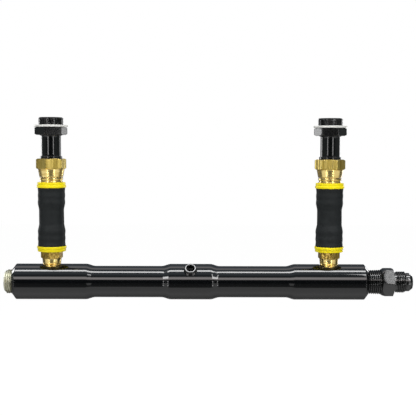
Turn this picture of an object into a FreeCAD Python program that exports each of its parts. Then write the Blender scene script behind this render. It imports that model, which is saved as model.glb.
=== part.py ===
"""Fuel log for a carburettor with two fuel bowls, in millimetres.

A bored black tube lies along X. Two branches stand on it along Z, each a brass push-on hose tail,
a short rubber hose between two yellow rings, a brass stem in a swivel nut, and an inlet fitting.
The origin is on the axis of the left inlet fitting, at the face of its sealing washer that meets
the carburettor. +Z points into the carburettor and +X runs along the log to its fuel inlet.
"""
import FreeCAD, Part
import math
import os
import Sketcher

os.makedirs("parts", exist_ok=True)
doc = FreeCAD.newDocument("fuel_log")

# Driving dimensions: alias, value, meaning
SIZES = [
    ("branch_spacing", 248.2, "distance between the two inlet fittings"),
    ("fit_gap", 0.05, "radial gap between mating round faces"),
    ("flow_bore", 9.9, "fuel way through the flared fittings"),
    ("pipe_taper", 0.0625, "taper of a pipe thread, on the diameter"),
    ("port_inset", 35.1, "each end face of the log from the nearest branch"),
    ("log_od", 31.75, "thick bands of the log"),
    ("log_neck_depth", 1.9, "how deep the thin necks are turned below the bands"),
    ("log_bore", 18.3, "fuel gallery"),
    ("log_end_band", 66.8, "length of each end band"),
    ("log_mid_band", 37.6, "length of the centre band"),
    ("log_cone", 6.0, "length of each cone between band and neck"),
    ("log_cone_round", 7.0, "rounding where a cone starts and ends"),
    ("log_face_od", 22.4, "flat face at each end"),
    ("log_end_bevel", 3.6, "length of each end bevel"),
    ("end_thread_od", 21.3, "half-inch pipe thread at the log's face"),
    ("end_thread_hold", 9.6, "length screwed into the log"),
    ("end_thread_runout", 2.0, "tapped hole past the screwed length"),
    ("port_thread_od", 16.4, "three-eighths pipe thread at the log's crown"),
    ("port_mouth_od", 18.4, "countersink of each top port"),
    ("port_end_gap", 0.6, "from a thread's end to the gallery"),
    ("gauge_thread_od", 10.3, "eighth-inch pipe thread at the log's surface"),
    ("gauge_mouth_od", 11.8, "countersink of the gauge port"),
    ("gauge_tilt", 45.0, "gauge port, turned from the top towards the front"),
    ("gauge_proud", 4.2, "gauge port plug above the band"),
    ("gauge_bevel", 0.6, "rim of the gauge port plug"),
    ("gauge_key_flats", 6.35, "socket of the gauge port plug"),
    ("gauge_key_depth", 5.0, "depth of that socket"),
    ("plug_proud", 6.7, "end plug outside the log"),
    ("plug_rim", 2.1, "bevel round the outer face of the end plug"),
    ("end_thread_bevel", 1.1, "inner ends of the end plug and of the adapter"),
    ("plug_key_flats", 9.53, "socket of the end plug"),
    ("plug_key_depth", 8.0, "depth of that socket"),
    ("adapter_thread_show", 11.4, "adapter thread outside the log"),
    ("adapter_cone", 3.7, "cone from that thread to the hexagon"),
    ("adapter_hex_flats", 23.8, "adapter hexagon"),
    ("adapter_hex_height", 7.4, "adapter hexagon"),
    ("adapter_neck", 2.6, "relief between that hexagon and the flare thread"),
    ("flare_end_length", 17.2, "shoulder to nose of a flared male end"),
    ("flare_thread_od", 19.05, "flare thread"),
    ("flare_thread_end", 10.8, "shoulder to the end of that thread"),
    ("flare_root_od", 17.0, "relief at the start of that thread"),
    ("flare_groove_od", 15.6, "groove after that thread"),
    ("flare_groove", 0.8, "width of that groove"),
    ("flare_nose_od", 16.4, "plain nose before the cone"),
    ("flare_cone", 2.8, "length of the sealing cone"),
    ("flare_angle", 37.0, "half angle of the sealing cone"),
    ("inlet_thread_od", 22.2, "carburettor inlet thread"),
    ("inlet_thread_reach", 6.7, "that thread past the washer"),
    ("inlet_thread_bevel", 0.8, "end of that thread"),
    ("inlet_relief_od", 20.6, "relief under the washer"),
    ("inlet_hex_flats", 25.4, "inlet fitting hexagon"),
    ("inlet_hex_height", 7.0, "inlet fitting hexagon"),
    ("inlet_cone", 0.8, "cone under that hexagon"),
    ("inlet_cone_od", 20.8, "that cone at the hexagon"),
    ("inlet_barrel_od", 17.4, "plain barrel of the inlet fitting"),
    ("inlet_barrel", 18.8, "hexagon to shoulder, cone included"),
    ("shoulder_od", 19.4, "shoulder above the swivel nut"),
    ("shoulder_height", 2.1, "that shoulder"),
    ("shoulder_relief", 0.9, "relief below that shoulder"),
    ("washer_od", 29.6, "sealing washer"),
    ("washer_thickness", 1.8, "sealing washer"),
    ("washer_gap", 0.15, "washer round its thread"),
    ("hex_bevel_angle", 25.0, "slope of the bevel on every hexagon"),
    ("nut_flats", 23.8, "swivel nut hexagon"),
    ("nut_top_gap", 0.1, "swivel nut below the shoulder"),
    ("nut_skirt", 7.0, "turned skirt of the swivel nut"),
    ("nut_skirt_top_od", 23.4, "skirt where it leaves the hexagon"),
    ("nut_skirt_end_od", 20.8, "skirt at its end"),
    ("nut_lip", 1.2, "inner lip that carries the stem's head"),
    ("nut_float", 0.4, "gap between the skirt and the stem's bead"),
    ("stem_head_od", 17.8, "head of the hose stem inside the nut"),
    ("stem_head", 3.0, "height of that head"),
    ("stem_neck_od", 14.4, "neck of the hose stem in the nut's lip"),
    ("stem_bead_od", 20.6, "bead under the nut"),
    ("stem_bead", 2.1, "height of that bead"),
    ("stem_groove_od", 19.0, "groove under the bead"),
    ("stem_groove", 1.2, "width of that groove"),
    ("stem_flange_od", 20.0, "flange on the yellow ring"),
    ("stem_flange", 1.1, "height of that flange"),
    ("tail_bore", 9.5, "fuel way through the barbed tails"),
    ("tail_root_od", 14.2, "tail between its barbs"),
    ("tail_crest_od", 16.0, "barb crest"),
    ("tail_base", 4.0, "plain tail before the first barb"),
    ("barb_pitch", 6.2, "one barb"),
    ("tail_end_bevel", 0.4, "end of the tail"),
    ("lower_hex_flats", 17.46, "lower fitting hexagon"),
    ("lower_hex_height", 6.2, "lower fitting hexagon"),
    ("lower_standoff", 5.3, "that hexagon above the log's crown"),
    ("lower_neck", 4.4, "plain neck below that hexagon"),
    ("lower_neck_top_od", 17.0, "neck under the hexagon"),
    ("lower_neck_end_od", 16.1, "neck at the pipe thread"),
    ("ring_od", 26.0, "yellow ring at its open end"),
    ("ring_back_od", 25.0, "yellow ring at its closed end"),
    ("ring_height", 4.7, "yellow ring"),
    ("ring_plate", 1.4, "closed end of the yellow ring"),
    ("ring_gap", 0.2, "ring round the barbs and round the hose"),
    ("ring_round", 0.55, "edges of the yellow ring"),
    ("hose_length", 58.7, "hose as cut"),
    ("hose_wall", 4.1, "hose wall over the barbs"),
    ("hose_waist_od", 22.0, "hose between the two tails"),
    ("hose_waist_bore", 13.0, "hose between the two tails"),
    ("hose_tip_gap", 0.3, "past the end of a tail"),
    ("hose_blend", 4.4, "where the outside narrows over the end of a tail"),
    ("hose_bore_blend", 2.0, "where the bore narrows past the end of a tail"),
    ("hose_waist_round", 6.0, "rounding of the outside where it narrows"),
    ("adapter_hex_angle", 30.0, "how the adapter hexagon came to stand when tightened"),
    ("left_inlet_angle", 16.3, "how the left inlet hexagon came to stand"),
    ("right_inlet_angle", 52.2, "how the right inlet hexagon came to stand"),
    ("left_nut_angle", 21.0, "how the left swivel nut came to stand"),
    ("right_nut_angle", 50.1, "how the right swivel nut came to stand"),
    ("left_lower_angle", 20.7, "how the left lower hexagon came to stand"),
    ("right_lower_angle", 39.0, "how the right lower hexagon came to stand"),
]
BARBS = 3
# How far a cut round a hexagon reaches past its corners, as a share of the corner radius
CUT_REACH = 1.5
# How near an edge has to be to the place where it is looked for
EDGE_MATCH = 1e-4

sheet = doc.addObject("Spreadsheet::Sheet", "Sizes")
for row, (alias, value, meaning) in enumerate(SIZES, start=1):
    sheet.set(f"A{row}", meaning)
    sheet.set(f"B{row}", str(value))
    sheet.setAlias(f"B{row}", alias)
doc.recompute()


def size(alias):
    """The expression of one cell."""
    return f"Sizes.{alias}"


def half(alias):
    """The expression of a radius, from the cell that holds the diameter."""
    return f"Sizes.{alias} / 2"


def value_of(expression):
    """What an expression comes to now."""
    return float(sheet.evalExpression(expression))


# Levels of a branch, from the washer's upper face down, as expressions in the part's frame
INLET_Z = f"(-{size('washer_thickness')})"
FLARE_START = f"({size('inlet_hex_height')} + {size('inlet_barrel')})"
NOSE_Z = f"({INLET_Z} - {FLARE_START} - {size('flare_end_length')})"
FLANGE_TO_BEAD = f"{size('stem_flange')} + {size('stem_groove')} + {size('stem_bead')}"
STEM_TO_LIP = f"({FLANGE_TO_BEAD} + {size('nut_float')})"
STEM_TO_HEAD = f"({STEM_TO_LIP} + {size('nut_lip')})"
STEM_Z = f"({NOSE_Z} - {size('fit_gap')} - {STEM_TO_HEAD})"
NUT_Z = f"({STEM_Z} + {STEM_TO_LIP})"
HOSE_Z = f"({STEM_Z} - {size('ring_plate')} - {size('hose_length')})"
LOWER_Z = f"({HOSE_Z} - {size('ring_plate')})"
CROWN_Z = f"({LOWER_Z} - {size('lower_hex_height')} - {size('lower_standoff')})"
LOG_Z = f"({CROWN_Z} - {half('log_od')})"
NUT_HEIGHT = (
    f"({size('flare_end_length')} - {size('shoulder_height')} - {size('nut_top_gap')}"
    f" + {size('fit_gap')} + {size('nut_lip')})"
)
LOG_MID_X = f"({size('branch_spacing')} / 2)"
LOG_HALF = f"({LOG_MID_X} + {size('port_inset')})"
LOG_NECK_R = f"({half('log_od')} - {size('log_neck_depth')})"
FLARE_SLOPE = f"tan({size('flare_angle')} * 1 deg)"
FLARE_TIP_R = f"({half('flare_nose_od')} - {size('flare_cone')} * {FLARE_SLOPE})"
TAIL_LENGTH = f"({size('tail_base')} + {BARBS} * {size('barb_pitch')})"
HOSE_OUTER_R = f"({half('tail_crest_od')} + {size('fit_gap')} + {size('hose_wall')})"


def corner_radius(flats_alias):
    """Centre to corner of a hexagon, from its width across flats."""
    return f"{size(flats_alias)} / sqrt(3)"


def bevel_drop(flats_alias, from_radius):
    """Height of a hexagon's turned bevel, from a radius out to the corners."""
    reach = f"({corner_radius(flats_alias)} - {from_radius})"
    return f"{reach} * tan({size('hex_bevel_angle')} * 1 deg)"


def new_body(name):
    """A sub-part, whose label is its file's name."""
    body = doc.addObject("PartDesign::Body", name)
    body.Label = name
    return body


def origin_plane(body, role):
    """One of the body's own origin planes."""
    return next(item for item in body.Origin.OriginFeatures if item.Role == role)


def place(body, x, z, axis=(0, 0, 1), angle="0"):
    """Put a body in the part's frame; all of it stays bound to the sheet."""
    rotation = FreeCAD.Rotation(FreeCAD.Vector(*axis), value_of(angle))
    body.Placement = FreeCAD.Placement(FreeCAD.Vector(0, 0, 0), rotation)
    body.setExpression("Placement.Base.x", x)
    body.setExpression("Placement.Base.z", z)
    body.setExpression("Placement.Rotation.Angle", angle)


def bind(sketch, kind, first, second, expression):
    """A dimension of a sketch, bound to an expression."""
    constraint = Sketcher.Constraint(kind, *first, *second, value_of(expression))
    index = sketch.addConstraint(constraint)
    sketch.setExpression(f"Constraints[{index}]", expression)


def profile(body, name, corners, plane="XZ_Plane", shift=None, turn=None):
    """A closed outline of straight runs; each corner is (across, along), two expressions."""
    sketch = body.newObject("Sketcher::SketchObject", name)
    sketch.AttachmentSupport = [(origin_plane(body, plane), "")]
    sketch.MapMode = "FlatFace"
    if shift is not None:
        sketch.setExpression("AttachmentOffset.Base.x", shift)
    if turn is not None:
        sketch.setExpression("AttachmentOffset.Rotation.Angle", turn)
    points = [FreeCAD.Vector(value_of(a), value_of(b), 0) for a, b in corners]
    count = len(points)
    for start in range(count):
        end = (start + 1) % count
        sketch.addGeometry(Part.LineSegment(points[start], points[end]), False)
    for start in range(count):
        end = (start + 1) % count
        sketch.addConstraint(Sketcher.Constraint("Coincident", start, 2, end, 1))
    for index, (across, along) in enumerate(corners):
        bind(sketch, "DistanceX", (-1, 1), (index, 1), across)
        bind(sketch, "DistanceY", (-1, 1), (index, 1), along)
    return sketch


def hexagon(body, name, flats_alias, level, turn, plane="XY_Plane", rim=None):
    """A regular hexagon at a level, with a circle of radius rim round it where one is given."""
    sketch = body.newObject("Sketcher::SketchObject", name)
    sketch.AttachmentSupport = [(origin_plane(body, plane), "")]
    sketch.MapMode = "FlatFace"
    sketch.setExpression("AttachmentOffset.Base.z", level)
    sketch.setExpression("AttachmentOffset.Rotation.Angle", turn)
    radius = value_of(corner_radius(flats_alias))
    centre = FreeCAD.Vector(0, 0, 0)
    up = FreeCAD.Vector(0, 0, 1)
    points = []
    for index in range(6):
        angle = math.radians(60 * index)
        points.append(FreeCAD.Vector(radius * math.cos(angle), radius * math.sin(angle), 0))
    for index in range(6):
        sketch.addGeometry(Part.LineSegment(points[index], points[(index + 1) % 6]), False)
    guide = sketch.addGeometry(Part.Circle(centre, up, radius), True)
    sketch.addConstraint(Sketcher.Constraint("Coincident", guide, 3, -1, 1))
    bind(sketch, "Radius", (guide,), (), corner_radius(flats_alias))
    for index in range(6):
        following = (index + 1) % 6
        sketch.addConstraint(Sketcher.Constraint("Coincident", index, 2, following, 1))
        sketch.addConstraint(Sketcher.Constraint("PointOnObject", index, 1, guide))
    for index in range(1, 6):
        sketch.addConstraint(Sketcher.Constraint("Equal", 0, index))
    sketch.addConstraint(Sketcher.Constraint("PointOnObject", 0, 1, -1))
    if rim is not None:
        circle = sketch.addGeometry(Part.Circle(centre, up, value_of(rim)), False)
        sketch.addConstraint(Sketcher.Constraint("Coincident", circle, 3, -1, 1))
        bind(sketch, "Radius", (circle,), (), rim)
    return sketch


def turned(body, sketch, name, axis="V_Axis"):
    """A solid of revolution."""
    feature = body.newObject("PartDesign::Revolution", name)
    feature.Profile = sketch
    feature.ReferenceAxis = (sketch, [axis])
    feature.Angle = 360.0
    doc.recompute()
    return feature


def check_cut(body, feature, before):
    """Stop if a cut took nothing away."""
    doc.recompute()
    taken = before - body.Shape.Volume
    if taken <= 0:
        raise RuntimeError(f"{body.Label}: {feature.Name} cuts nothing")


def grooved(body, sketch, name, axis="V_Axis"):
    """A turned cut."""
    before = body.Shape.Volume
    feature = body.newObject("PartDesign::Groove", name)
    feature.Profile = sketch
    feature.ReferenceAxis = (sketch, [axis])
    feature.Angle = 360.0
    check_cut(body, feature, before)
    return feature


def pocketed(body, sketch, name, depth):
    """A cut from the sketch down along the body's Z."""
    before = body.Shape.Volume
    feature = body.newObject("PartDesign::Pocket", name)
    feature.Profile = sketch
    feature.setExpression("Length", depth)
    check_cut(body, feature, before)
    return feature


def rounded(body, base, name, circles, radius, along="Z"):
    """Round the circular edges given as (radius, level) pairs of expressions."""
    wanted = [(value_of(r), value_of(level)) for r, level in circles]
    edges = []
    for index, edge in enumerate(base.Shape.Edges, start=1):
        curve = edge.Curve
        if not isinstance(curve, Part.Circle):
            continue
        level = curve.Center.z if along == "Z" else curve.Center.x
        for r, height in wanted:
            if abs(curve.Radius - r) < EDGE_MATCH and abs(level - height) < EDGE_MATCH:
                edges.append(f"Edge{index}")
    if len(edges) != len(wanted):
        raise RuntimeError(f"{body.Label}: {name} found {len(edges)} of {len(wanted)} edges")
    feature = body.newObject("PartDesign::Fillet", name)
    feature.Base = (base, edges)
    feature.setExpression("Radius", radius)
    doc.recompute()
    return feature


def hex_flats(body, name, flats_alias, top, height, turn):
    """Cut the six flats of a hexagon on a turned blank, from its top face down."""
    rim = f"{corner_radius(flats_alias)} * {CUT_REACH}"
    sketch = hexagon(body, f"{name}_sketch", flats_alias, top, turn, rim=rim)
    return pocketed(body, sketch, name, height)


def tail_corners(start, direction, clearance="0"):
    """Barbed hose tail, from its base outwards: (radius, level) corners.

    Each barb is a square step that faces the base and a cone that runs down to the root.
    """
    root = f"{half('tail_root_od')} + {clearance}"
    crest = f"{half('tail_crest_od')} + {clearance}"
    corners = [(root, f"{start}")]
    for barb in range(BARBS):
        reach = f"({size('tail_base')} + {barb} * {size('barb_pitch')})"
        level = f"{start} {direction} {reach}"
        corners += [(root, level), (crest, level)]
    return corners


def flare_corners(start, direction, first_corners, relief_end):
    """Flared male end, from its shoulder to its nose: (radius, level) corners."""

    def level(reach):
        return f"{start} {direction} ({reach})"

    groove_end = f"{size('flare_thread_end')} + {size('flare_groove')}"
    cone_start = f"{size('flare_end_length')} - {size('flare_cone')}"
    return first_corners + [
        (half("flare_root_od"), level(relief_end)),
        (half("flare_thread_od"), level(relief_end)),
        (half("flare_thread_od"), level(size("flare_thread_end"))),
        (half("flare_groove_od"), level(size("flare_thread_end"))),
        (half("flare_groove_od"), level(groove_end)),
        (half("flare_nose_od"), level(groove_end)),
        (half("flare_nose_od"), level(cone_start)),
        (FLARE_TIP_R, level(size("flare_end_length"))),
    ]


def build_log():
    """The log: a turned and bored bar, tapped at both ends, twice on top and at the front."""
    body = new_body("log_tube")
    end = LOG_HALF
    band = f"{end} - {size('log_end_band')}"
    neck = f"{band} - {size('log_cone')}"
    mid = f"{size('log_mid_band')} / 2"
    mid_neck = f"{mid} + {size('log_cone')}"
    right = [
        (mid, half("log_od")),
        (mid_neck, LOG_NECK_R),
        (neck, LOG_NECK_R),
        (band, half("log_od")),
        (f"{end} - {size('log_end_bevel')}", half("log_od")),
        (end, half("log_face_od")),
        (end, half("log_bore")),
    ]
    left = [(f"-({x})", r) for x, r in reversed(right)]
    outline = profile(body, "log_outline", left + right)
    blank = turned(body, outline, "log_blank", axis="H_Axis")

    cone_circles = []
    for x, r in right[:4]:
        cone_circles += [(r, x), (r, f"-({x})")]
    rounded(body, blank, "log_cone_rounding", cone_circles, size("log_cone_round"), along="X")

    # Tapered end thread, its hole larger than the screw by the fit gap
    depth = f"{size('end_thread_hold')} + {size('end_thread_runout')}"
    mouth = f"{half('end_thread_od')} + {size('fit_gap')}"
    bottom = f"{mouth} - ({depth}) * {size('pipe_taper')} / 2"
    end_hole = profile(
        body,
        "end_hole_outline",
        [(f"{end} - ({depth})", "0"), (end, "0"), (end, mouth), (f"{end} - ({depth})", bottom)],
    )
    end_cut = grooved(body, end_hole, "end_hole", axis="H_Axis")

    # Tapered top port, cut about its own vertical axis
    crown = half("log_od")
    port_r = f"{half('port_thread_od')} + {size('fit_gap')}"
    port_bottom = f"{port_r} - ({crown}) * {size('pipe_taper')} / 2"
    sink = f"{half('port_mouth_od')} - ({port_r})"
    port_outline = profile(
        body,
        "port_outline",
        [
            ("0", "0"),
            (port_bottom, "0"),
            (port_r, f"{crown} - ({sink})"),
            (half("port_mouth_od"), crown),
            ("0", crown),
        ],
        shift=LOG_MID_X,
    )
    port_cut = grooved(body, port_outline, "port_hole")

    mirrored = body.newObject("PartDesign::Mirrored", "left_holes")
    mirrored.Originals = [end_cut, port_cut]
    mirrored.MirrorPlane = (origin_plane(body, "YZ_Plane"), [""])
    body.Tip = mirrored
    doc.recompute()

    # Gauge port, tilted from the top towards the front
    gauge_r = f"{half('gauge_thread_od')} + {size('fit_gap')}"
    gauge_bottom = f"{gauge_r} - ({crown}) * {size('pipe_taper')} / 2"
    gauge_sink = f"{half('gauge_mouth_od')} - ({gauge_r})"
    gauge_outline = profile(
        body,
        "gauge_outline",
        [
            ("0", "0"),
            (gauge_bottom, "0"),
            (gauge_r, f"{crown} - ({gauge_sink})"),
            (half("gauge_mouth_od"), crown),
            ("0", crown),
        ],
        plane="YZ_Plane",
        turn=size("gauge_tilt"),
    )
    grooved(body, gauge_outline, "gauge_hole")
    place(body, LOG_MID_X, LOG_Z)
    return body


def build_end_plug():
    """Pipe plug in the log's left end: a taper thread along its whole length, a key socket."""
    body = new_body("end_plug")
    inner = f"-{size('end_thread_hold')}"
    outer = size("plug_proud")
    face_r = half("end_thread_od")
    inner_r = f"{face_r} - {size('end_thread_hold')} * {size('pipe_taper')} / 2"
    bevel = size("end_thread_bevel")
    rim = size("plug_rim")
    outer_r = f"{face_r} + ({outer} - {rim}) * {size('pipe_taper')} / 2"
    outline = profile(
        body,
        "plug_outline",
        [
            ("0", inner),
            (f"{inner_r} - {bevel}", inner),
            (inner_r, f"{inner} + {bevel}"),
            (outer_r, f"{outer} - {rim}"),
            (f"{outer_r} - {rim}", outer),
            ("0", outer),
        ],
    )
    turned(body, outline, "plug_blank")
    socket = hexagon(body, "plug_key_sketch", "plug_key_flats", outer, "0")
    pocketed(body, socket, "plug_key", size("plug_key_depth"))
    place(body, f"{LOG_MID_X} - {LOG_HALF}", LOG_Z, axis=(0, 1, 0), angle="-90")
    return body


def build_inlet_adapter():
    """Adapter in the log's right end: pipe thread, cone, hexagon, flared male end."""
    body = new_body("inlet_adapter")
    inner = f"-{size('end_thread_hold')}"
    face_r = half("end_thread_od")
    inner_r = f"{face_r} - {size('end_thread_hold')} * {size('pipe_taper')} / 2"
    bevel = size("end_thread_bevel")
    show = size("adapter_thread_show")
    show_r = f"{face_r} + {show} * {size('pipe_taper')} / 2"
    hex_start = f"{show} + {size('adapter_cone')}"
    hex_end = f"{hex_start} + {size('adapter_hex_height')}"
    corner = corner_radius("adapter_hex_flats")
    shoulder_r = f"{size('adapter_hex_flats')} / 2"
    drop = bevel_drop("adapter_hex_flats", shoulder_r)
    bore = half("flow_bore")
    first = [
        (bore, inner),
        (f"{inner_r} - {bevel}", inner),
        (inner_r, f"{inner} + {bevel}"),
        (show_r, show),
        (corner, hex_start),
        (corner, f"{hex_end} - {drop}"),
        (shoulder_r, hex_end),
        (half("flare_root_od"), hex_end),
    ]
    corners = flare_corners(hex_end, "+", first, size("adapter_neck"))
    tip = f"{hex_end} + {size('flare_end_length')}"
    outline = profile(body, "adapter_outline", corners + [(bore, tip)])
    turned(body, outline, "adapter_blank")
    height = f"{size('adapter_cone')} + {size('adapter_hex_height')}"
    turn = size("adapter_hex_angle")
    hex_flats(body, "adapter_flats", "adapter_hex_flats", hex_end, height, turn)
    place(body, f"{LOG_MID_X} + {LOG_HALF}", LOG_Z, axis=(0, 1, 0), angle="90")
    return body


def build_gauge_port_plug():
    """Small pipe plug in the tilted gauge port; its own Z runs out along the port."""
    body = new_body("gauge_port_plug")
    surface = half("log_od")
    inner = f"{half('log_bore')} + {size('port_end_gap')}"
    outer = f"{surface} + {size('gauge_proud')}"
    bevel = size("gauge_bevel")
    slope = f"{size('pipe_taper')} / 2"
    inner_r = f"{half('gauge_thread_od')} - ({surface} - ({inner})) * {slope}"
    outer_r = f"{half('gauge_thread_od')} + {size('gauge_proud')} * {slope}"
    outline = profile(
        body,
        "gauge_plug_outline",
        [
            ("0", inner),
            (inner_r, inner),
            (outer_r, f"{outer} - {bevel}"),
            (f"{outer_r} - {bevel}", outer),
            ("0", outer),
        ],
    )
    turned(body, outline, "gauge_plug_blank")
    socket = hexagon(body, "gauge_key_sketch", "gauge_key_flats", outer, "0")
    pocketed(body, socket, "gauge_key", size("gauge_key_depth"))
    place(body, LOG_MID_X, LOG_Z, axis=(1, 0, 0), angle=size("gauge_tilt"))
    return body


def build_lower_fitting(side, x):
    """Brass fitting in the log's top: pipe thread below, hexagon, barbed tail above."""
    body = new_body(f"{side}_lower_fitting")
    hex_bottom = f"-{size('lower_hex_height')}"
    crown = f"{hex_bottom} - {size('lower_standoff')}"
    wall = f"({half('log_od')} - {half('log_bore')})"
    end = f"{crown} - {wall} + {size('port_end_gap')}"
    slope = f"{size('pipe_taper')} / 2"
    end_r = f"{half('port_thread_od')} - ({wall} - {size('port_end_gap')}) * {slope}"
    neck_end = f"{hex_bottom} - {size('lower_neck')}"
    top_r = f"{half('port_thread_od')} + ({size('lower_standoff')} - {size('lower_neck')}) * {slope}"
    corner = corner_radius("lower_hex_flats")
    drop = bevel_drop("lower_hex_flats", half("lower_neck_top_od"))
    bore = half("tail_bore")
    bevel = size("tail_end_bevel")
    tail_end = TAIL_LENGTH
    tail_start = size("ring_plate")
    corners = [
        (bore, end),
        (f"{end_r} - {bevel}", end),
        (end_r, f"{end} + {bevel}"),
        (top_r, neck_end),
        (half("lower_neck_end_od"), neck_end),
        (half("lower_neck_top_od"), hex_bottom),
        (corner, f"{hex_bottom} + {drop}"),
        (corner, "0"),
        (half("tail_root_od"), "0"),
    ]
    corners += tail_corners(tail_start, "+")[1:]
    corners += [
        (half("tail_root_od"), f"{tail_start} + {tail_end} - {bevel}"),
        (f"{half('tail_root_od')} - {bevel}", f"{tail_start} + {tail_end}"),
        (bore, f"{tail_start} + {tail_end}"),
    ]
    outline = profile(body, f"{side}_lower_outline", corners)
    turned(body, outline, f"{side}_lower_blank")
    turn = size(f"{side}_lower_angle")
    hex_flats(body, f"{side}_lower_flats", "lower_hex_flats", "0", size("lower_hex_height"), turn)
    place(body, x, LOWER_Z)
    return body


def build_ring(name, x, z, angle):
    """Yellow ring over the hose's cut end; its closed end is at its own Z = 0."""
    body = new_body(name)
    bore = f"{half('tail_crest_od')} + {size('ring_gap')}"
    inside = f"{HOSE_OUTER_R} + {size('ring_gap')}"
    top = size("ring_height")
    plate = size("ring_plate")
    outline = profile(
        body,
        f"{name}_outline",
        [
            (bore, "0"),
            (half("ring_back_od"), "0"),
            (half("ring_od"), f"{top} / 2"),
            (half("ring_od"), top),
            (inside, top),
            (inside, plate),
            (bore, plate),
        ],
    )
    blank = turned(body, outline, f"{name}_blank")
    edges = [(half("ring_back_od"), "0"), (half("ring_od"), top)]
    rounded(body, blank, f"{name}_rounding", edges, size("ring_round"))
    place(body, x, z, axis=(1, 0, 0), angle=angle)
    return body


def build_hose(side, x):
    """Push-on hose: its bore sits on both barbed tails, and it is waisted between them."""
    body = new_body(f"{side}_hose")
    gap = size("fit_gap")
    length = size("hose_length")
    reach = f"({TAIL_LENGTH} + {size('hose_tip_gap')})"
    shrink = f"({reach} - {size('hose_blend')})"
    waist = f"({reach} + {size('hose_bore_blend')})"
    root = f"{half('tail_root_od')} + {gap}"
    lower = tail_corners("0", "+", gap) + [(root, reach)]
    upper = tail_corners(length, "-", gap) + [(root, f"{length} - {reach}")]
    narrow = half("hose_waist_bore")
    inner = lower + [(narrow, waist), (narrow, f"{length} - {waist}")] + upper[::-1]
    outer = [
        (HOSE_OUTER_R, length),
        (HOSE_OUTER_R, f"{length} - {shrink}"),
        (half("hose_waist_od"), f"{length} - {reach}"),
        (half("hose_waist_od"), reach),
        (HOSE_OUTER_R, shrink),
        (HOSE_OUTER_R, "0"),
    ]
    outline = profile(body, f"{side}_hose_outline", inner + outer)
    blank = turned(body, outline, f"{side}_hose_blank")
    rounded(body, blank, f"{side}_hose_rounding", outer[1:2] + outer[4:5], size("hose_waist_round"))
    place(body, x, HOSE_Z)
    return body


def build_hose_stem(side, x):
    """Brass stem: barbed tail below the ring, flange and bead above it, seated head on top."""
    body = new_body(f"{side}_hose_stem")
    flange = size("stem_flange")
    groove = f"{flange} + {size('stem_groove')}"
    bead = f"{groove} + {size('stem_bead')}"
    head = STEM_TO_HEAD
    head_top = f"{head} + {size('stem_head')}"
    bore = half("tail_bore")
    bevel = size("tail_end_bevel")
    tail_start = f"-{size('ring_plate')}"
    tail_end = f"{tail_start} - {TAIL_LENGTH}"
    seat_r = f"{FLARE_TIP_R} + {size('stem_head')} * {FLARE_SLOPE}"
    tail = [
        (bore, tail_end),
        (f"{half('tail_root_od')} - {bevel}", tail_end),
        (half("tail_root_od"), f"{tail_end} + {bevel}"),
    ]
    tail += tail_corners(tail_start, "-")[:0:-1]
    body_corners = [
        (half("tail_root_od"), "0"),
        (half("stem_flange_od"), "0"),
        (half("stem_flange_od"), flange),
        (half("stem_groove_od"), flange),
        (half("stem_groove_od"), groove),
        (half("stem_bead_od"), groove),
        (half("stem_bead_od"), bead),
        (half("stem_neck_od"), bead),
        (half("stem_neck_od"), head),
        (half("stem_head_od"), head),
        (half("stem_head_od"), head_top),
        (seat_r, head_top),
        (FLARE_TIP_R, head),
        (bore, head),
    ]
    outline = profile(body, f"{side}_stem_outline", tail + body_corners)
    turned(body, outline, f"{side}_stem_blank")
    place(body, x, STEM_Z)
    return body


def build_swivel_nut(side, x):
    """Nut turned from hexagon bar: thread bore above, inner lip below, tapered skirt outside."""
    body = new_body(f"{side}_swivel_nut")
    skirt = size("nut_skirt")
    top = NUT_HEIGHT
    corner = corner_radius("nut_flats")
    flat_r = f"{size('nut_flats')} / 2"
    bore = f"{half('flare_thread_od')} + {size('fit_gap')}"
    lip_bore = f"{half('stem_neck_od')} + {size('fit_gap')}"
    drop = bevel_drop("nut_flats", flat_r)
    outline = profile(
        body,
        f"{side}_nut_outline",
        [
            (lip_bore, "0"),
            (half("nut_skirt_end_od"), "0"),
            (half("nut_skirt_top_od"), skirt),
            (corner, f"{skirt} + {bevel_drop('nut_flats', half('nut_skirt_top_od'))}"),
            (corner, f"{top} - {drop}"),
            (flat_r, top),
            (bore, top),
            (bore, size("nut_lip")),
            (lip_bore, size("nut_lip")),
        ],
    )
    turned(body, outline, f"{side}_nut_blank")
    height = f"{top} - {skirt}"
    hex_flats(body, f"{side}_nut_flats", "nut_flats", top, height, size(f"{side}_nut_angle"))
    place(body, x, NUT_Z)
    return body


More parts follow.
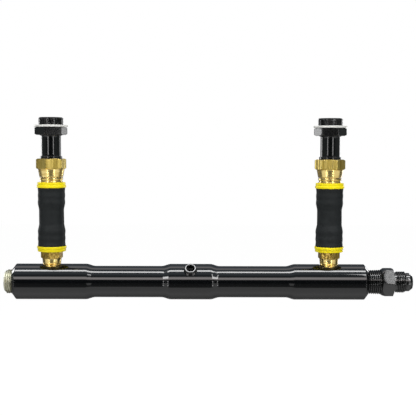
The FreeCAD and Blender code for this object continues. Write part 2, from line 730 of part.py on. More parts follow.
def build_inlet_fitting(side, x):
    """Inlet fitting: carburettor thread, hexagon, barrel, shoulder, flared male end below."""
    body = new_body(f"{side}_inlet_fitting")
    top = f"{size('washer_thickness')} + {size('inlet_thread_reach')}"
    bevel = size("inlet_thread_bevel")
    hex_bottom = f"-{size('inlet_hex_height')}"
    corner = corner_radius("inlet_hex_flats")
    flat_r = f"{size('inlet_hex_flats')} / 2"
    drop = bevel_drop("inlet_hex_flats", flat_r)
    barrel_r = half("inlet_barrel_od")
    start = f"-{FLARE_START}"
    bore = half("flow_bore")
    first = [
        (bore, top),
        (f"{half('inlet_thread_od')} - {bevel}", top),
        (half("inlet_thread_od"), f"{top} - {bevel}"),
        (half("inlet_thread_od"), size("washer_thickness")),
        (half("inlet_relief_od"), size("washer_thickness")),
        (half("inlet_relief_od"), "0"),
        (flat_r, "0"),
        (corner, f"-({drop})"),
        (corner, f"{hex_bottom} + {drop}"),
        (flat_r, hex_bottom),
        (half("inlet_cone_od"), hex_bottom),
        (barrel_r, f"{hex_bottom} - {size('inlet_cone')}"),
        (barrel_r, start),
        (half("shoulder_od"), start),
        (half("shoulder_od"), f"{start} - {size('shoulder_height')}"),
        (half("flare_root_od"), f"{start} - {size('shoulder_height')}"),
    ]
    relief = f"{size('shoulder_height')} + {size('shoulder_relief')}"
    corners = flare_corners(start, "-", first, relief)
    tip = f"{start} - {size('flare_end_length')}"
    outline = profile(body, f"{side}_inlet_outline", corners + [(bore, tip)])
    turned(body, outline, f"{side}_inlet_blank")
    turn = size(f"{side}_inlet_angle")
    hex_flats(body, f"{side}_inlet_flats", "inlet_hex_flats", "0", size("inlet_hex_height"), turn)
    place(body, x, INLET_Z)
    return body


def build_washer(side, x):
    """Flat sealing washer on the inlet fitting's hexagon."""
    body = new_body(f"{side}_sealing_washer")
    bore = f"{half('inlet_thread_od')} + {size('washer_gap')}"
    outline = profile(
        body,
        f"{side}_washer_outline",
        [
            (bore, "0"),
            (half("washer_od"), "0"),
            (half("washer_od"), size("washer_thickness")),
            (bore, size("washer_thickness")),
        ],
    )
    turned(body, outline, f"{side}_washer_blank")
    place(body, x, INLET_Z)
    return body


parts = [build_log(), build_end_plug(), build_inlet_adapter(), build_gauge_port_plug()]
for side, x in (("left", "0"), ("right", size("branch_spacing"))):
    parts.append(build_lower_fitting(side, x))
    parts.append(build_ring(f"{side}_lower_collar", x, LOWER_Z, "0"))
    parts.append(build_hose(side, x))
    parts.append(build_ring(f"{side}_upper_collar", x, STEM_Z, "180"))
    parts.append(build_hose_stem(side, x))
    parts.append(build_swivel_nut(side, x))
    parts.append(build_inlet_fitting(side, x))
    parts.append(build_washer(side, x))

doc.recompute()
for item in doc.Objects:
    if "Invalid" in item.State or "Error" in item.State:
        raise RuntimeError(f"{item.Name} did not compute: {item.State}")
for body in parts:
    shape = body.Shape
    if shape.isNull() or not shape.isValid() or len(shape.Solids) != 1:
        raise RuntimeError(f"{body.Label} is not one valid solid")
for body in parts:
    body.Shape.exportStep(f"parts/{body.Label}.step")
    box = body.Shape.BoundBox
    print(f"{body.Label}: {body.Shape.Volume / 1000:.2f} cm3, z {box.ZMin:.2f} to {box.ZMax:.2f}")
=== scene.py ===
"""Looks of the fuel log: a gloss black log, two short hose branches in brass and yellow, black fittings.

The script follows the object from the log outwards. Every piece takes its place from the box of the
part that it dresses. A piece's lengths are in millimetres until its mesh is made, and the studio's are
in metres.
"""
import math

import bmesh
import bpy
import numpy as np
from mathutils import Matrix, Vector


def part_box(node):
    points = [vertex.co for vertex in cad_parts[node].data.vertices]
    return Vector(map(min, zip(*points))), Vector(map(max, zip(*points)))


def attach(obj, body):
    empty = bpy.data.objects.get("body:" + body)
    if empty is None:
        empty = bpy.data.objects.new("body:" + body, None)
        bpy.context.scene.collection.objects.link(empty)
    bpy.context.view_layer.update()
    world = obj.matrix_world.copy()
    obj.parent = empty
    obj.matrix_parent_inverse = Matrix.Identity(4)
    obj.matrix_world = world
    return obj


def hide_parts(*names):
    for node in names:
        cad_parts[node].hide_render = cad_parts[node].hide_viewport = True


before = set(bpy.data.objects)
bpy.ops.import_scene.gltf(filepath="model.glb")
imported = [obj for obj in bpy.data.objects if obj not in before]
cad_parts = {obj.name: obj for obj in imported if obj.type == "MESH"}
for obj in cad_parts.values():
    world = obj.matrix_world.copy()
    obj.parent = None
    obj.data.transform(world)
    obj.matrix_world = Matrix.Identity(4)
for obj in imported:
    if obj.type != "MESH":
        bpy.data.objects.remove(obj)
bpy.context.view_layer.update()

# The log is a bar of aluminium alloy, turned to thick bands and thin necks, bored and tapped.
# It is polished and then black anodised, so it is smooth and glossy with a faint turned grain.
MM = 0.001
LOG_OD = 31.75
LOG_NECK_DEPTH = 1.9
LOG_BORE = 18.3
LOG_END_BAND = 66.8
LOG_MID_BAND = 37.6
LOG_CONE = 6.0
LOG_CONE_EASE = 1.6
LOG_FACE_OD = 22.4
LOG_END_BEVEL = 3.6
LOG_EDGE_EASE = 0.35
END_HOLE_OD = 21.4
END_HOLE_DEPTH = 11.6
END_HOLE_STEP = 1.2
PORT_INSET = 35.1
PORT_OD = 16.5
PORT_MOUTH_OD = 18.4
GAUGE_PORT_OD = 10.4
GAUGE_MOUTH_OD = 11.8
GAUGE_TILT = math.radians(45)
PIPE_SLOPE = 1 / 32
LOG_HOLE_EASE = 0.1
LOG_COLUMNS = 192
PORT_COLUMNS = 96
LOG_BLACK = "#060708"
UPRIGHT = ((1, 0, 0), (0, 1, 0), (0, 0, 1))
TOLERANCE = 1e-6
CURVE_SHARE = 0.45
SHARP_ANGLE = math.radians(28)
MERGE_METRES = 1e-7


def span(node):
    """A node's lowest and highest corners, in millimetres."""
    low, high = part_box(node)
    return np.array(low) / MM, np.array(high) / MM


def toward(corner, neighbour, ease):
    """The way from a corner to a neighbour, ease long but at most CURVE_SHARE of the run between them."""
    run = neighbour - corner
    return run * np.minimum(ease / np.maximum(np.linalg.norm(run, axis=0), TOLERANCE), CURVE_SHARE)


def eased(corners, step=2.0, ease=0.2, pieces=4):
    """An outline of (radius, along) corners as dense rows: two arrays, a row a point, a column an angle.

    Each corner P becomes a short curve tangent to its two runs, P + (1-t)^2 a + t^2 b with a and b the
    ways to its two ends, and each run between is cut into lengths of at most step. A radius or a level
    may be an array over the angles, as on a hexagon. A corner may hold its own ease as a third number,
    and the step of the run that starts at it as a fourth.
    """
    columns = max(np.size(value) for corner in corners for value in corner[:2])
    points = np.array([[np.broadcast_to(value, columns) for value in corner[:2]] for corner in corners])
    eases = [corner[2] if len(corner) > 2 else ease for corner in corners]
    steps = [corner[3] if len(corner) > 3 else step for corner in corners]
    t = np.linspace(0, 1, pieces + 1)[:, None, None]
    bends = [points[:1]]
    for index in range(1, len(points) - 1):
        a = toward(points[index], points[index - 1], eases[index])
        b = toward(points[index], points[index + 1], eases[index])
        bends.append(points[index] + (1 - t) ** 2 * a + t ** 2 * b)
    bends.append(points[-1:])
    rows = []
    for bend, following, longest in zip(bends[:-1], bends[1:], steps):
        reach = following[0] - bend[-1]
        cuts = max(1, math.ceil(np.linalg.norm(reach, axis=0).max() / longest - TOLERANCE))
        rows += [bend, bend[-1] + reach * (np.arange(1, cuts) / cuts)[:, None, None]]
    rows = np.concatenate(rows + bends[-1:])
    return rows[:, 0], rows[:, 1]


def round_angles(count):
    """Angles once round, count of them, evenly spaced."""
    return np.arange(count) * (2 * math.pi / count)


def turned(name, radius, along, angle, base, ways, ring, flats=None):
    """A surface round an axis: point = base + r cos(a) u + r sin(a) v + s w, with ways = (u, v, w).

    radius and along hold a row for each point of the outline and a column for each angle. ring closes
    the outline on itself, as on a bored piece; otherwise it starts and ends on the axis. flats marks
    the points on a hexagon's flats, whose faces take the piece's second material.
    """
    base, u, v, w = (np.array(item, float) for item in (base, *ways))
    shape = (len(radius), len(angle))
    radius = np.broadcast_to(radius, shape)
    along = np.broadcast_to(along, shape)
    spots = (
        base
        + (radius * np.cos(angle))[..., None] * u
        + (radius * np.sin(angle))[..., None] * v
        + along[..., None] * w
    )
    index = np.arange(shape[0] * shape[1]).reshape(shape)
    below = index if ring else index[:-1]
    above = np.roll(index, -1, axis=0) if ring else index[1:]
    faces = np.stack([below, np.roll(below, -1, axis=1), np.roll(above, -1, axis=1), above], axis=-1)
    mesh = bpy.data.meshes.new(name)
    mesh.from_pydata(spots.reshape(-1, 3) * MM, [], faces.reshape(-1, 4))
    if flats is not None:
        marked = np.broadcast_to(flats, shape).ravel()[faces.reshape(-1, 4)].all(axis=1)
        mesh.polygons.foreach_set("material_index", marked.astype(np.int32))
    whole = bmesh.new()
    whole.from_mesh(mesh)
    bmesh.ops.remove_doubles(whole, verts=whole.verts, dist=MERGE_METRES)
    whole.to_mesh(mesh)
    whole.free()
    mesh.shade_smooth()
    mesh.set_sharp_from_angle(angle=SHARP_ANGLE)
    piece = bpy.data.objects.new(name, mesh)
    bpy.context.collection.objects.link(piece)
    return piece


def cut_from(piece, cutters):
    """Take the cutters away from a piece for good, and delete them."""
    for cutter in cutters:
        modifier = piece.modifiers.new(cutter.name, "BOOLEAN")
        modifier.operation = "DIFFERENCE"
        modifier.solver = "EXACT"
        modifier.object = cutter
    depsgraph = bpy.context.evaluated_depsgraph_get()
    mesh = bpy.data.meshes.new_from_object(piece.evaluated_get(depsgraph))
    piece.modifiers.clear()
    piece.data = mesh
    for cutter in cutters:
        bpy.data.objects.remove(cutter)
    mesh.shade_smooth()
    mesh.set_sharp_from_angle(angle=SHARP_ANGLE)


def linear(code):
    """An sRGB hex colour as linear red, green, blue and alpha."""
    parts = np.array([int(code[i : i + 2], 16) / 255 for i in (1, 3, 5)])
    values = np.where(parts <= 0.04045, parts / 12.92, ((parts + 0.055) / 1.055) ** 2.4)
    return (*values.tolist(), 1.0)


def add(tree, kind, settings=None, inputs=None):
    """Add a node. inputs maps an input's name or number to a value or to another node's output."""
    made = tree.nodes.new(kind)
    for key, value in (settings or {}).items():
        setattr(made, key, value)
    for key, value in (inputs or {}).items():
        if isinstance(value, bpy.types.NodeSocket):
            tree.links.new(value, made.inputs[key])
        else:
            made.inputs[key].default_value = value
    return made


def new_material(name, settings):
    """A material whose surface is one Principled shader: returns the material, its tree and the shader."""
    material = bpy.data.materials.new(name)
    material.use_nodes = True
    tree = material.node_tree
    tree.nodes.clear()
    surface = add(tree, "ShaderNodeBsdfPrincipled", None, settings)
    add(tree, "ShaderNodeOutputMaterial", None, {"Surface": surface.outputs["BSDF"]})
    return material, tree, surface


def gloss_black_anodise():
    """Polished, black anodised alloy: a hard clear oxide over black dye, so sharp but dim reflections.

    The turned grain runs round the log: noise stretched round X, 1.4 mm apart so that it can show. A
    broad noise, 18 mm across, varies the polish.
    """
    material, tree, surface = new_material(
        "gloss_black_anodised_alloy",
        {"Base Color": linear(LOG_BLACK), "IOR": 1.45},
    )
    place = add(tree, "ShaderNodeTexCoord").outputs["Object"]
    stretched = add(tree, "ShaderNodeMapping", None, {"Vector": place, "Scale": (1.0, 0.02, 0.02)})
    grain = add(
        tree,
        "ShaderNodeTexNoise",
        None,
        {"Vector": stretched.outputs[0], "Scale": 700.0, "Detail": 2.0},
    )
    smear = add(tree, "ShaderNodeTexNoise", None, {"Vector": place, "Scale": 55.0, "Detail": 3.0})
    rough = add(
        tree,
        "ShaderNodeMapRange",
        None,
        {"Value": smear.outputs["Fac"], "From Min": 0.3, "From Max": 0.7, "To Min": 0.06, "To Max": 0.09},
    )
    tree.links.new(rough.outputs[0], surface.inputs["Roughness"])
    bump = add(
        tree,
        "ShaderNodeBump",
        None,
        {"Height": grain.outputs["Fac"], "Strength": 0.05, "Distance": 0.02 * MM},
    )
    tree.links.new(bump.outputs[0], surface.inputs["Normal"])
    return material


log_low, log_high = span("log_tube")
LOG_HALF = (log_high[0] - log_low[0]) / 2
LOG_MID = np.array([(log_low[0] + log_high[0]) / 2, 0.0, (log_low[2] + log_high[2]) / 2])
LOG_R = LOG_OD / 2
NECK_R = LOG_R - LOG_NECK_DEPTH
AXIS_RIGHT = ((0, 0, -1), (0, 1, 0), (1, 0, 0))
AXIS_LEFT = ((0, 0, 1), (0, 1, 0), (-1, 0, 0))

band_start = LOG_HALF - LOG_END_BAND
mid_end = LOG_MID_BAND / 2
right_half = [
    (LOG_R, mid_end, LOG_CONE_EASE),
    (NECK_R, mid_end + LOG_CONE, LOG_CONE_EASE),
    (NECK_R, band_start - LOG_CONE, LOG_CONE_EASE),
    (LOG_R, band_start, LOG_CONE_EASE),
    (LOG_R, LOG_HALF - LOG_END_BEVEL, LOG_EDGE_EASE),
    (LOG_FACE_OD / 2, LOG_HALF, LOG_EDGE_EASE),
    (END_HOLE_OD / 2, LOG_HALF, LOG_HOLE_EASE),
    (END_HOLE_OD / 2 - END_HOLE_DEPTH * PIPE_SLOPE, LOG_HALF - END_HOLE_DEPTH),
    (LOG_BORE / 2, LOG_HALF - END_HOLE_DEPTH - END_HOLE_STEP),
]
left_half = [(corner[0], -corner[1], *corner[2:]) for corner in reversed(right_half)]
log_radius, log_along = eased(left_half + right_half, step=4.0, pieces=8)
log_angle = round_angles(LOG_COLUMNS)
log_tube = turned("log_tube_skin", log_radius, log_along, log_angle, LOG_MID, AXIS_RIGHT, ring=True)

gauge_out = (
    (1, 0, 0),
    (0, math.cos(GAUGE_TILT), math.sin(GAUGE_TILT)),
    (0, -math.sin(GAUGE_TILT), math.cos(GAUGE_TILT)),
)
port_cutters = []
for label, shift, ways, port_od, mouth_od in (
    ("port_left", PORT_INSET - LOG_HALF, UPRIGHT, PORT_OD, PORT_MOUTH_OD),
    ("port_right", LOG_HALF - PORT_INSET, UPRIGHT, PORT_OD, PORT_MOUTH_OD),
    ("port_gauge", 0.0, gauge_out, GAUGE_PORT_OD, GAUGE_MOUTH_OD),
):
    sink = (mouth_od - port_od) / 2
    hole = [
        (0, 0),
        (port_od / 2 - LOG_R * PIPE_SLOPE, 0),
        (port_od / 2, LOG_R - sink),
        (mouth_od / 2, LOG_R),
        (mouth_od / 2 + sink, LOG_R + sink),
        (0, LOG_R + sink),
    ]
    radius, along = eased(hole, step=50.0, ease=0.01, pieces=1)
    start = LOG_MID + np.array([shift, 0, 0])
    port_cutters.append(turned(label, radius, along, round_angles(PORT_COLUMNS), start, ways, ring=False))
cut_from(log_tube, port_cutters)
log_tube.data.materials.append(gloss_black_anodise())
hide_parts("log_tube")
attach(log_tube, "root")

# The end plug closes the log's left end: a steel pipe plug, threaded along its whole length and
# screwed in until about half of it stands out, with a hexagon socket pressed into its face.
PLUG_BEVEL = 1.1
PLUG_RIM = 2.1
PLUG_PITCH = 1.814
PLUG_THREAD_DEPTH = 1.3
PLUG_THREAD_STOP = 0.3
PLUG_THREAD_FADE = 1.2
PLUG_RIM_STEP = 0.3
THREAD_ROWS = 10
THREAD_STEEPNESS = 1.35
THREAD_CREST = 0.12
PLUG_KEY_FLATS = 9.53
PLUG_KEY_DEPTH = 8.0
PLUG_KEY_MOUTH = 0.45
END_THREAD_OD = 21.3
HEX_COLUMNS = 24
HEX_FACET = 0.006
MACHINED_EASE = 0.12
CRISP_EASE = 0.05
PLUG_STEEL = "#b3b2a0"


def hexagon(angle, across, turn=0.0):
    """Radius of a hexagon: half its width across flats over the cosine of the way to a flat's middle."""
    sixth = math.pi / 3
    return across / 2 / np.cos(np.mod(angle - turn, sixth) - sixth / 2)


def hexagon_angles(columns, turn=0.0):
    """Angles once round: each sixth runs from HEX_FACET after a corner to HEX_FACET before the next.

    That leaves a narrow facet at each corner, which keeps it crisp.
    """
    face = np.linspace(HEX_FACET, math.pi / 3 - HEX_FACET, columns)
    return (turn + np.arange(6)[:, None] * (math.pi / 3) + face).ravel()


def ease_step(value):
    """A smooth step from 0 to 1: 3t^2 - 2t^3 with t held between 0 and 1."""
    held = np.clip(value, 0, 1)
    return held * held * (3 - 2 * held)


def thread(along, angle, pitch, depth, low, high, fade):
    """Depth of a right-hand thread: depth times an eased V in along / pitch - angle / turn.

    The V is 0 at the crest and 1 at the root. Its steepness leaves narrow flats at both, and it fades
    out over the given length at both ends.
    """
    wave = np.abs(2 * np.mod(along / pitch - angle / (2 * math.pi), 1.0) - 1)
    vee = ease_step((1 - wave) * THREAD_STEEPNESS - THREAD_CREST)
    return depth * vee * np.clip((along - low) / fade, 0, 1) * np.clip((high - along) / fade, 0, 1)


def plated_steel():
    """Bright zinc on steel, dulled by use: a pale metal whose crystals blur what it reflects.

    The crystals are noise 1.1 mm across, as coarse as they need to be to show.
    """
    material, tree, surface = new_material(
        "bright_zinc_plated_steel",
        {"Base Color": linear(PLUG_STEEL), "Metallic": 1.0},
    )
    place = add(tree, "ShaderNodeTexCoord").outputs["Object"]
    grit = add(tree, "ShaderNodeTexNoise", None, {"Vector": place, "Scale": 900.0, "Detail": 3.0})
    rough = add(
        tree,
        "ShaderNodeMapRange",
        None,
        {"Value": grit.outputs["Fac"], "From Min": 0.3, "From Max": 0.7, "To Min": 0.42, "To Max": 0.56},
    )
    tree.links.new(rough.outputs[0], surface.inputs["Roughness"])
    return material


def socket_plug(name, outline, key_flats, key_depth, key_mouth, top, cut, base, ways):
    """A threaded plug with a hexagon socket.

    The outside follows the outline less the thread's cut. Inside, a 45 degree cone runs down from the
    rim to the hexagon, and the hexagon to a flat floor.
    """
    angle = hexagon_angles(HEX_COLUMNS)
    key = hexagon(angle, key_flats)
    rim = key_flats / math.sqrt(3) + key_mouth
    outer_r, outer_s = eased([*outline, (rim, top)], ease=MACHINED_EASE, pieces=3)
    inner_r, inner_s = eased(
        [(rim, top), (key, top - rim + key), (key, top - key_depth), (0, top - key_depth)],
        step=3.0,
        ease=CRISP_EASE,
        pieces=2,
    )
    outer_r = np.broadcast_to(outer_r, (len(outer_r), len(angle)))
    outer_s = np.broadcast_to(outer_s, outer_r.shape)
    radius = np.concatenate([outer_r - cut(outer_s, angle), inner_r[1:]])
    return turned(name, radius, np.concatenate([outer_s, inner_s[1:]]), angle, base, ways, ring=False)


plug_low, plug_high = span("end_plug")
log_left = log_low[0]
plug_out = log_left - plug_low[0]
plug_in = plug_high[0] - log_left
plug_wall = END_THREAD_OD / 2
plug_outer_r = plug_wall + (plug_out - PLUG_RIM) * PIPE_SLOPE
plug_outline = [
    (0, -plug_in),
    (plug_wall - plug_in * PIPE_SLOPE - PLUG_BEVEL, -plug_in),
    (plug_wall - plug_in * PIPE_SLOPE, PLUG_BEVEL - plug_in, MACHINED_EASE, PLUG_PITCH / THREAD_ROWS),
    (plug_outer_r, plug_out - PLUG_RIM, MACHINED_EASE, PLUG_RIM_STEP),
    (plug_outer_r - PLUG_RIM, plug_out),
]
plug_thread_end = plug_out - PLUG_THREAD_STOP
end_plug = socket_plug(
    "end_plug_skin",
    plug_outline,
    PLUG_KEY_FLATS,
    PLUG_KEY_DEPTH,
    PLUG_KEY_MOUTH,
    plug_out,
    lambda s, a: thread(s, a, PLUG_PITCH, PLUG_THREAD_DEPTH, -plug_in, plug_thread_end, PLUG_THREAD_FADE),
    (log_left, 0, LOG_MID[2]),
    AXIS_LEFT,
)
end_plug.data.materials.append(plated_steel())
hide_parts("end_plug")
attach(end_plug, "root")

# The gauge port plug is a small black pipe plug in the port at the front of the centre band. It
# stands a few millimetres proud, and its socket faces up and to the front.
GAUGE_OD = 10.3
GAUGE_BEVEL = 0.6
GAUGE_PITCH = 0.94
GAUGE_THREAD_DEPTH = 0.4
GAUGE_THREAD_STOP = 1.6
GAUGE_THREAD_FADE = 0.8
GAUGE_RIM_STEP = 0.2
GAUGE_KEY_FLATS = 6.35
GAUGE_KEY_DEPTH = 5.0
GAUGE_KEY_MOUTH = 0.3
GAUGE_PROUD = 4.2
GAUGE_END_GAP = 0.6
FITTING_BLACK = "#050606"


def satin_black_anodise(name, roughness, grain, depth, stretch):
    """Black anodised alloy as machined: the same oxide over tool marks, so softer, dimmer reflections.

    The tool marks are noise 1 / grain metres across, 0.6 mm when turned and 1.25 mm when milled, as
    coarse as they need to be to show, and depth millimetres deep. On the milled flats they are stretched
    level, which spreads what a flat reflects up and down.
    """
    material, tree, surface = new_material(
        name,
        {"Base Color": linear(FITTING_BLACK), "IOR": 1.55, "Roughness": roughness},
    )
    place = add(tree, "ShaderNodeTexCoord").outputs["Object"]
    stretched = add(tree, "ShaderNodeMapping", None, {"Vector": place, "Scale": stretch})
    marks = add(
        tree,
        "ShaderNodeTexNoise",
        None,
        {"Vector": stretched.outputs[0], "Scale": grain, "Detail": 2.0},
    )
    bump = add(
        tree,
        "ShaderNodeBump",
        None,
        {"Height": marks.outputs["Fac"], "Strength": 1.0, "Distance": depth * MM},
    )
    tree.links.new(bump.outputs[0], surface.inputs["Normal"])
    return material


fitting_black = satin_black_anodise("satin_black_anodised_alloy", 0.14, 1700.0, 0.004, (1.0, 1.0, 1.0))
fitting_flats = satin_black_anodise("black_anodised_milled_flats", 0.25, 800.0, 0.1, (0.04, 0.04, 1.0))
gauge_top = LOG_R + GAUGE_PROUD
gauge_foot = LOG_BORE / 2 + GAUGE_END_GAP
gauge_foot_r = GAUGE_OD / 2 - (LOG_R - gauge_foot) * PIPE_SLOPE
gauge_top_r = GAUGE_OD / 2 + GAUGE_PROUD * PIPE_SLOPE
gauge_thread_end = gauge_top - GAUGE_THREAD_STOP
gauge_outline = [
    (0, gauge_foot),
    (gauge_foot_r, gauge_foot, MACHINED_EASE, GAUGE_PITCH / THREAD_ROWS),
    (gauge_top_r, gauge_top - GAUGE_BEVEL, MACHINED_EASE, GAUGE_RIM_STEP),
    (gauge_top_r - GAUGE_BEVEL, gauge_top),
]
gauge_plug = socket_plug(
    "gauge_port_plug_skin",
    gauge_outline,
    GAUGE_KEY_FLATS,
    GAUGE_KEY_DEPTH,
    GAUGE_KEY_MOUTH,
    gauge_top,
    lambda s, a: thread(
        s, a, GAUGE_PITCH, GAUGE_THREAD_DEPTH, gauge_foot, gauge_thread_end, GAUGE_THREAD_FADE
    ),
    LOG_MID,
    gauge_out,
)
gauge_plug.data.materials.append(fitting_black)
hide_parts("gauge_port_plug")
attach(gauge_plug, "root")

# The inlet adapter is turned from hexagon bar and black anodised. Its pipe thread is screwed into
# the log's right end, and a flared fuel hose end screws onto the thread at its other end.
ADAPTER_THREAD_SHOW = 11.4
ADAPTER_CONE = 3.7
ADAPTER_FLATS = 23.8
ADAPTER_HEX_HEIGHT = 7.4
ADAPTER_HEX_TURN = math.radians(30)
ADAPTER_NECK = 2.6
ADAPTER_NECK_EASE = 0.4
ADAPTER_THREAD_STOP = 0.4
ADAPTER_THREAD_FADE = 1.0
ADAPTER_MOUTH = 0.4
ADAPTER_MOUTH_DEPTH = 1.0
CORNER_BREAK = 0.2
HEX_BEVEL = math.tan(math.radians(25))
FLOW_BORE = 9.9
BORE_BEVEL = 0.3
THINNEST_WALL = 1.0
FLARE_LENGTH = 17.2
FLARE_THREAD_OD = 19.05
FLARE_THREAD_END = 10.8
FLARE_PITCH = 1.5875
FLARE_THREAD_DEPTH = 0.9
FLARE_THREAD_FADE = 0.5
FLARE_LEAD = 0.5
FLARE_RUNOUT = 0.6
FLARE_RUNOUT_DROP = 0.9
FLARE_ROOT_OD = 17.0
FLARE_GROOVE_OD = 15.6
FLARE_GROOVE = 0.8
FLARE_GROOVE_WALL = 0.1
FLARE_NOSE_OD = 16.4
FLARE_CONE = 2.8
FLARE_SLOPE = math.tan(math.radians(37))
FLARE_TIP_R = FLARE_NOSE_OD / 2 - FLARE_CONE * FLARE_SLOPE


def broken_hexagon(angle, across, turn):
    """Radius of a hexagon whose corners are broken: the hexagon's, held to its corners less the break."""
    return np.minimum(hexagon(angle, across, turn), across / math.sqrt(3) - CORNER_BREAK)


def on_flats(radius, along, flat, low, high):
    """The points of an outline that lie on a hexagon's flats: at its radius, from low to high."""
    at_radius = np.abs(radius - flat) < TOLERANCE
    return at_radius & (along > low - TOLERANCE) & (along < high + TOLERANCE)


def flare_end(start, way, relief):
    """Outline of a flared male end from the relief at its shoulder to its nose, going way along."""
    groove_end = FLARE_THREAD_END + FLARE_GROOVE
    row = FLARE_PITCH / THREAD_ROWS
    runs = [
        (FLARE_ROOT_OD / 2, relief),
        (FLARE_THREAD_OD / 2 - FLARE_LEAD, relief),
        (FLARE_THREAD_OD / 2, relief + FLARE_LEAD, MACHINED_EASE, row),
        (FLARE_THREAD_OD / 2, FLARE_THREAD_END - FLARE_RUNOUT, MACHINED_EASE, row),
        (FLARE_THREAD_OD / 2 - FLARE_RUNOUT_DROP, FLARE_THREAD_END),
        (FLARE_GROOVE_OD / 2, FLARE_THREAD_END + FLARE_GROOVE_WALL),
        (FLARE_GROOVE_OD / 2, groove_end),
        (FLARE_NOSE_OD / 2, groove_end),
        (FLARE_NOSE_OD / 2, FLARE_LENGTH - FLARE_CONE),
        (FLARE_TIP_R, FLARE_LENGTH),
    ]
    return [(run[0], start + way * run[1], *run[2:]) for run in runs]


adapter_low, adapter_high = span("inlet_adapter")
log_right = log_high[0]
adapter_in = log_right - adapter_low[0]
show_r = END_THREAD_OD / 2 + ADAPTER_THREAD_SHOW * PIPE_SLOPE
adapter_inner_r = END_THREAD_OD / 2 - adapter_in * PIPE_SLOPE
hex_start = ADAPTER_THREAD_SHOW + ADAPTER_CONE
hex_end = hex_start + ADAPTER_HEX_HEIGHT
angle = hexagon_angles(HEX_COLUMNS, ADAPTER_HEX_TURN)
flat = broken_hexagon(angle, ADAPTER_FLATS, ADAPTER_HEX_TURN)
cone_end = ADAPTER_THREAD_SHOW + (flat - show_r) / (flat.max() - show_r) * ADAPTER_CONE
adapter_outline = [
    (FLOW_BORE / 2, -adapter_in + ADAPTER_MOUTH_DEPTH),
    (FLOW_BORE / 2 + ADAPTER_MOUTH, -adapter_in),
    (adapter_inner_r - PLUG_BEVEL, -adapter_in),
    (adapter_inner_r, PLUG_BEVEL - adapter_in, MACHINED_EASE, PLUG_PITCH / THREAD_ROWS),
    (show_r, ADAPTER_THREAD_SHOW),
    (flat, cone_end, CRISP_EASE),
    (flat, hex_end - (flat - ADAPTER_FLATS / 2) * HEX_BEVEL, CRISP_EASE),
    (ADAPTER_FLATS / 2, hex_end),
    (FLARE_ROOT_OD / 2, hex_end, ADAPTER_NECK_EASE),
    *flare_end(hex_end, 1, ADAPTER_NECK),
    (FLOW_BORE / 2 + BORE_BEVEL, hex_end + FLARE_LENGTH),
    (FLOW_BORE / 2, hex_end + FLARE_LENGTH - BORE_BEVEL),
]
radius, along = eased(adapter_outline, ease=MACHINED_EASE, pieces=3)
flats = on_flats(radius, along, flat, ADAPTER_THREAD_SHOW, hex_end)
outside = radius > FLOW_BORE / 2 + THINNEST_WALL
pipe_high = ADAPTER_THREAD_SHOW + ADAPTER_THREAD_STOP
pipe_cut = thread(along, angle, PLUG_PITCH, PLUG_THREAD_DEPTH, -adapter_in, pipe_high, ADAPTER_THREAD_FADE)
flare_low = hex_end + ADAPTER_NECK
flare_high = hex_end + FLARE_THREAD_END
flare_cut = thread(along, angle, FLARE_PITCH, FLARE_THREAD_DEPTH, flare_low, flare_high, FLARE_THREAD_FADE)
radius = radius - np.where(outside, pipe_cut + flare_cut, 0)
adapter = turned(
    "inlet_adapter_skin",
    radius,
    along,
    angle,
    (log_right, 0, LOG_MID[2]),
    AXIS_RIGHT,
    ring=True,
    flats=flats,
)
adapter.data.materials.append(fitting_black)
adapter.data.materials.append(fitting_flats)
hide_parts("inlet_adapter")
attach(adapter, "root")

# Each lower fitting is turned from hexagon brass bar: a pipe thread in the log's top port, a
# polished neck, a hexagon and a barbed tail inside the hose. The flats keep the bar's duller skin.
LOWER_FLATS = 17.46
LOWER_HEX_HEIGHT = 6.2
LOWER_NECK = 4.4
LOWER_NECK_TOP_OD = 17.0
LOWER_NECK_END_OD = 16.1
LOWER_THREAD_OD = 16.4
LOWER_PITCH = 1.411
LOWER_THREAD_DEPTH = 0.7
LOWER_THREAD_STOP = 0.2
LOWER_THREAD_FADE = 0.8
LOWER_BEVEL = 0.6
LOWER_NECK_STEP = 0.3
LOWER_NECK_EASE = 0.3
BRASS_EASE = 0.1
LOWER_TURN = {"left": math.radians(20.7), "right": math.radians(39.0)}
TAIL_BORE = 9.5
TAIL_ROOT_OD = 14.2
TAIL_CREST_OD = 16.0
TAIL_BASE = 4.0
TAIL_BEVEL = 0.4
BARB_PITCH = 6.2
BARBS = 3
RING_PLATE = 1.4
TARNISH_ROUGHER = 1.25
CLEAR_SMOOTHER = 0.8
SIDES = ("left", "right")


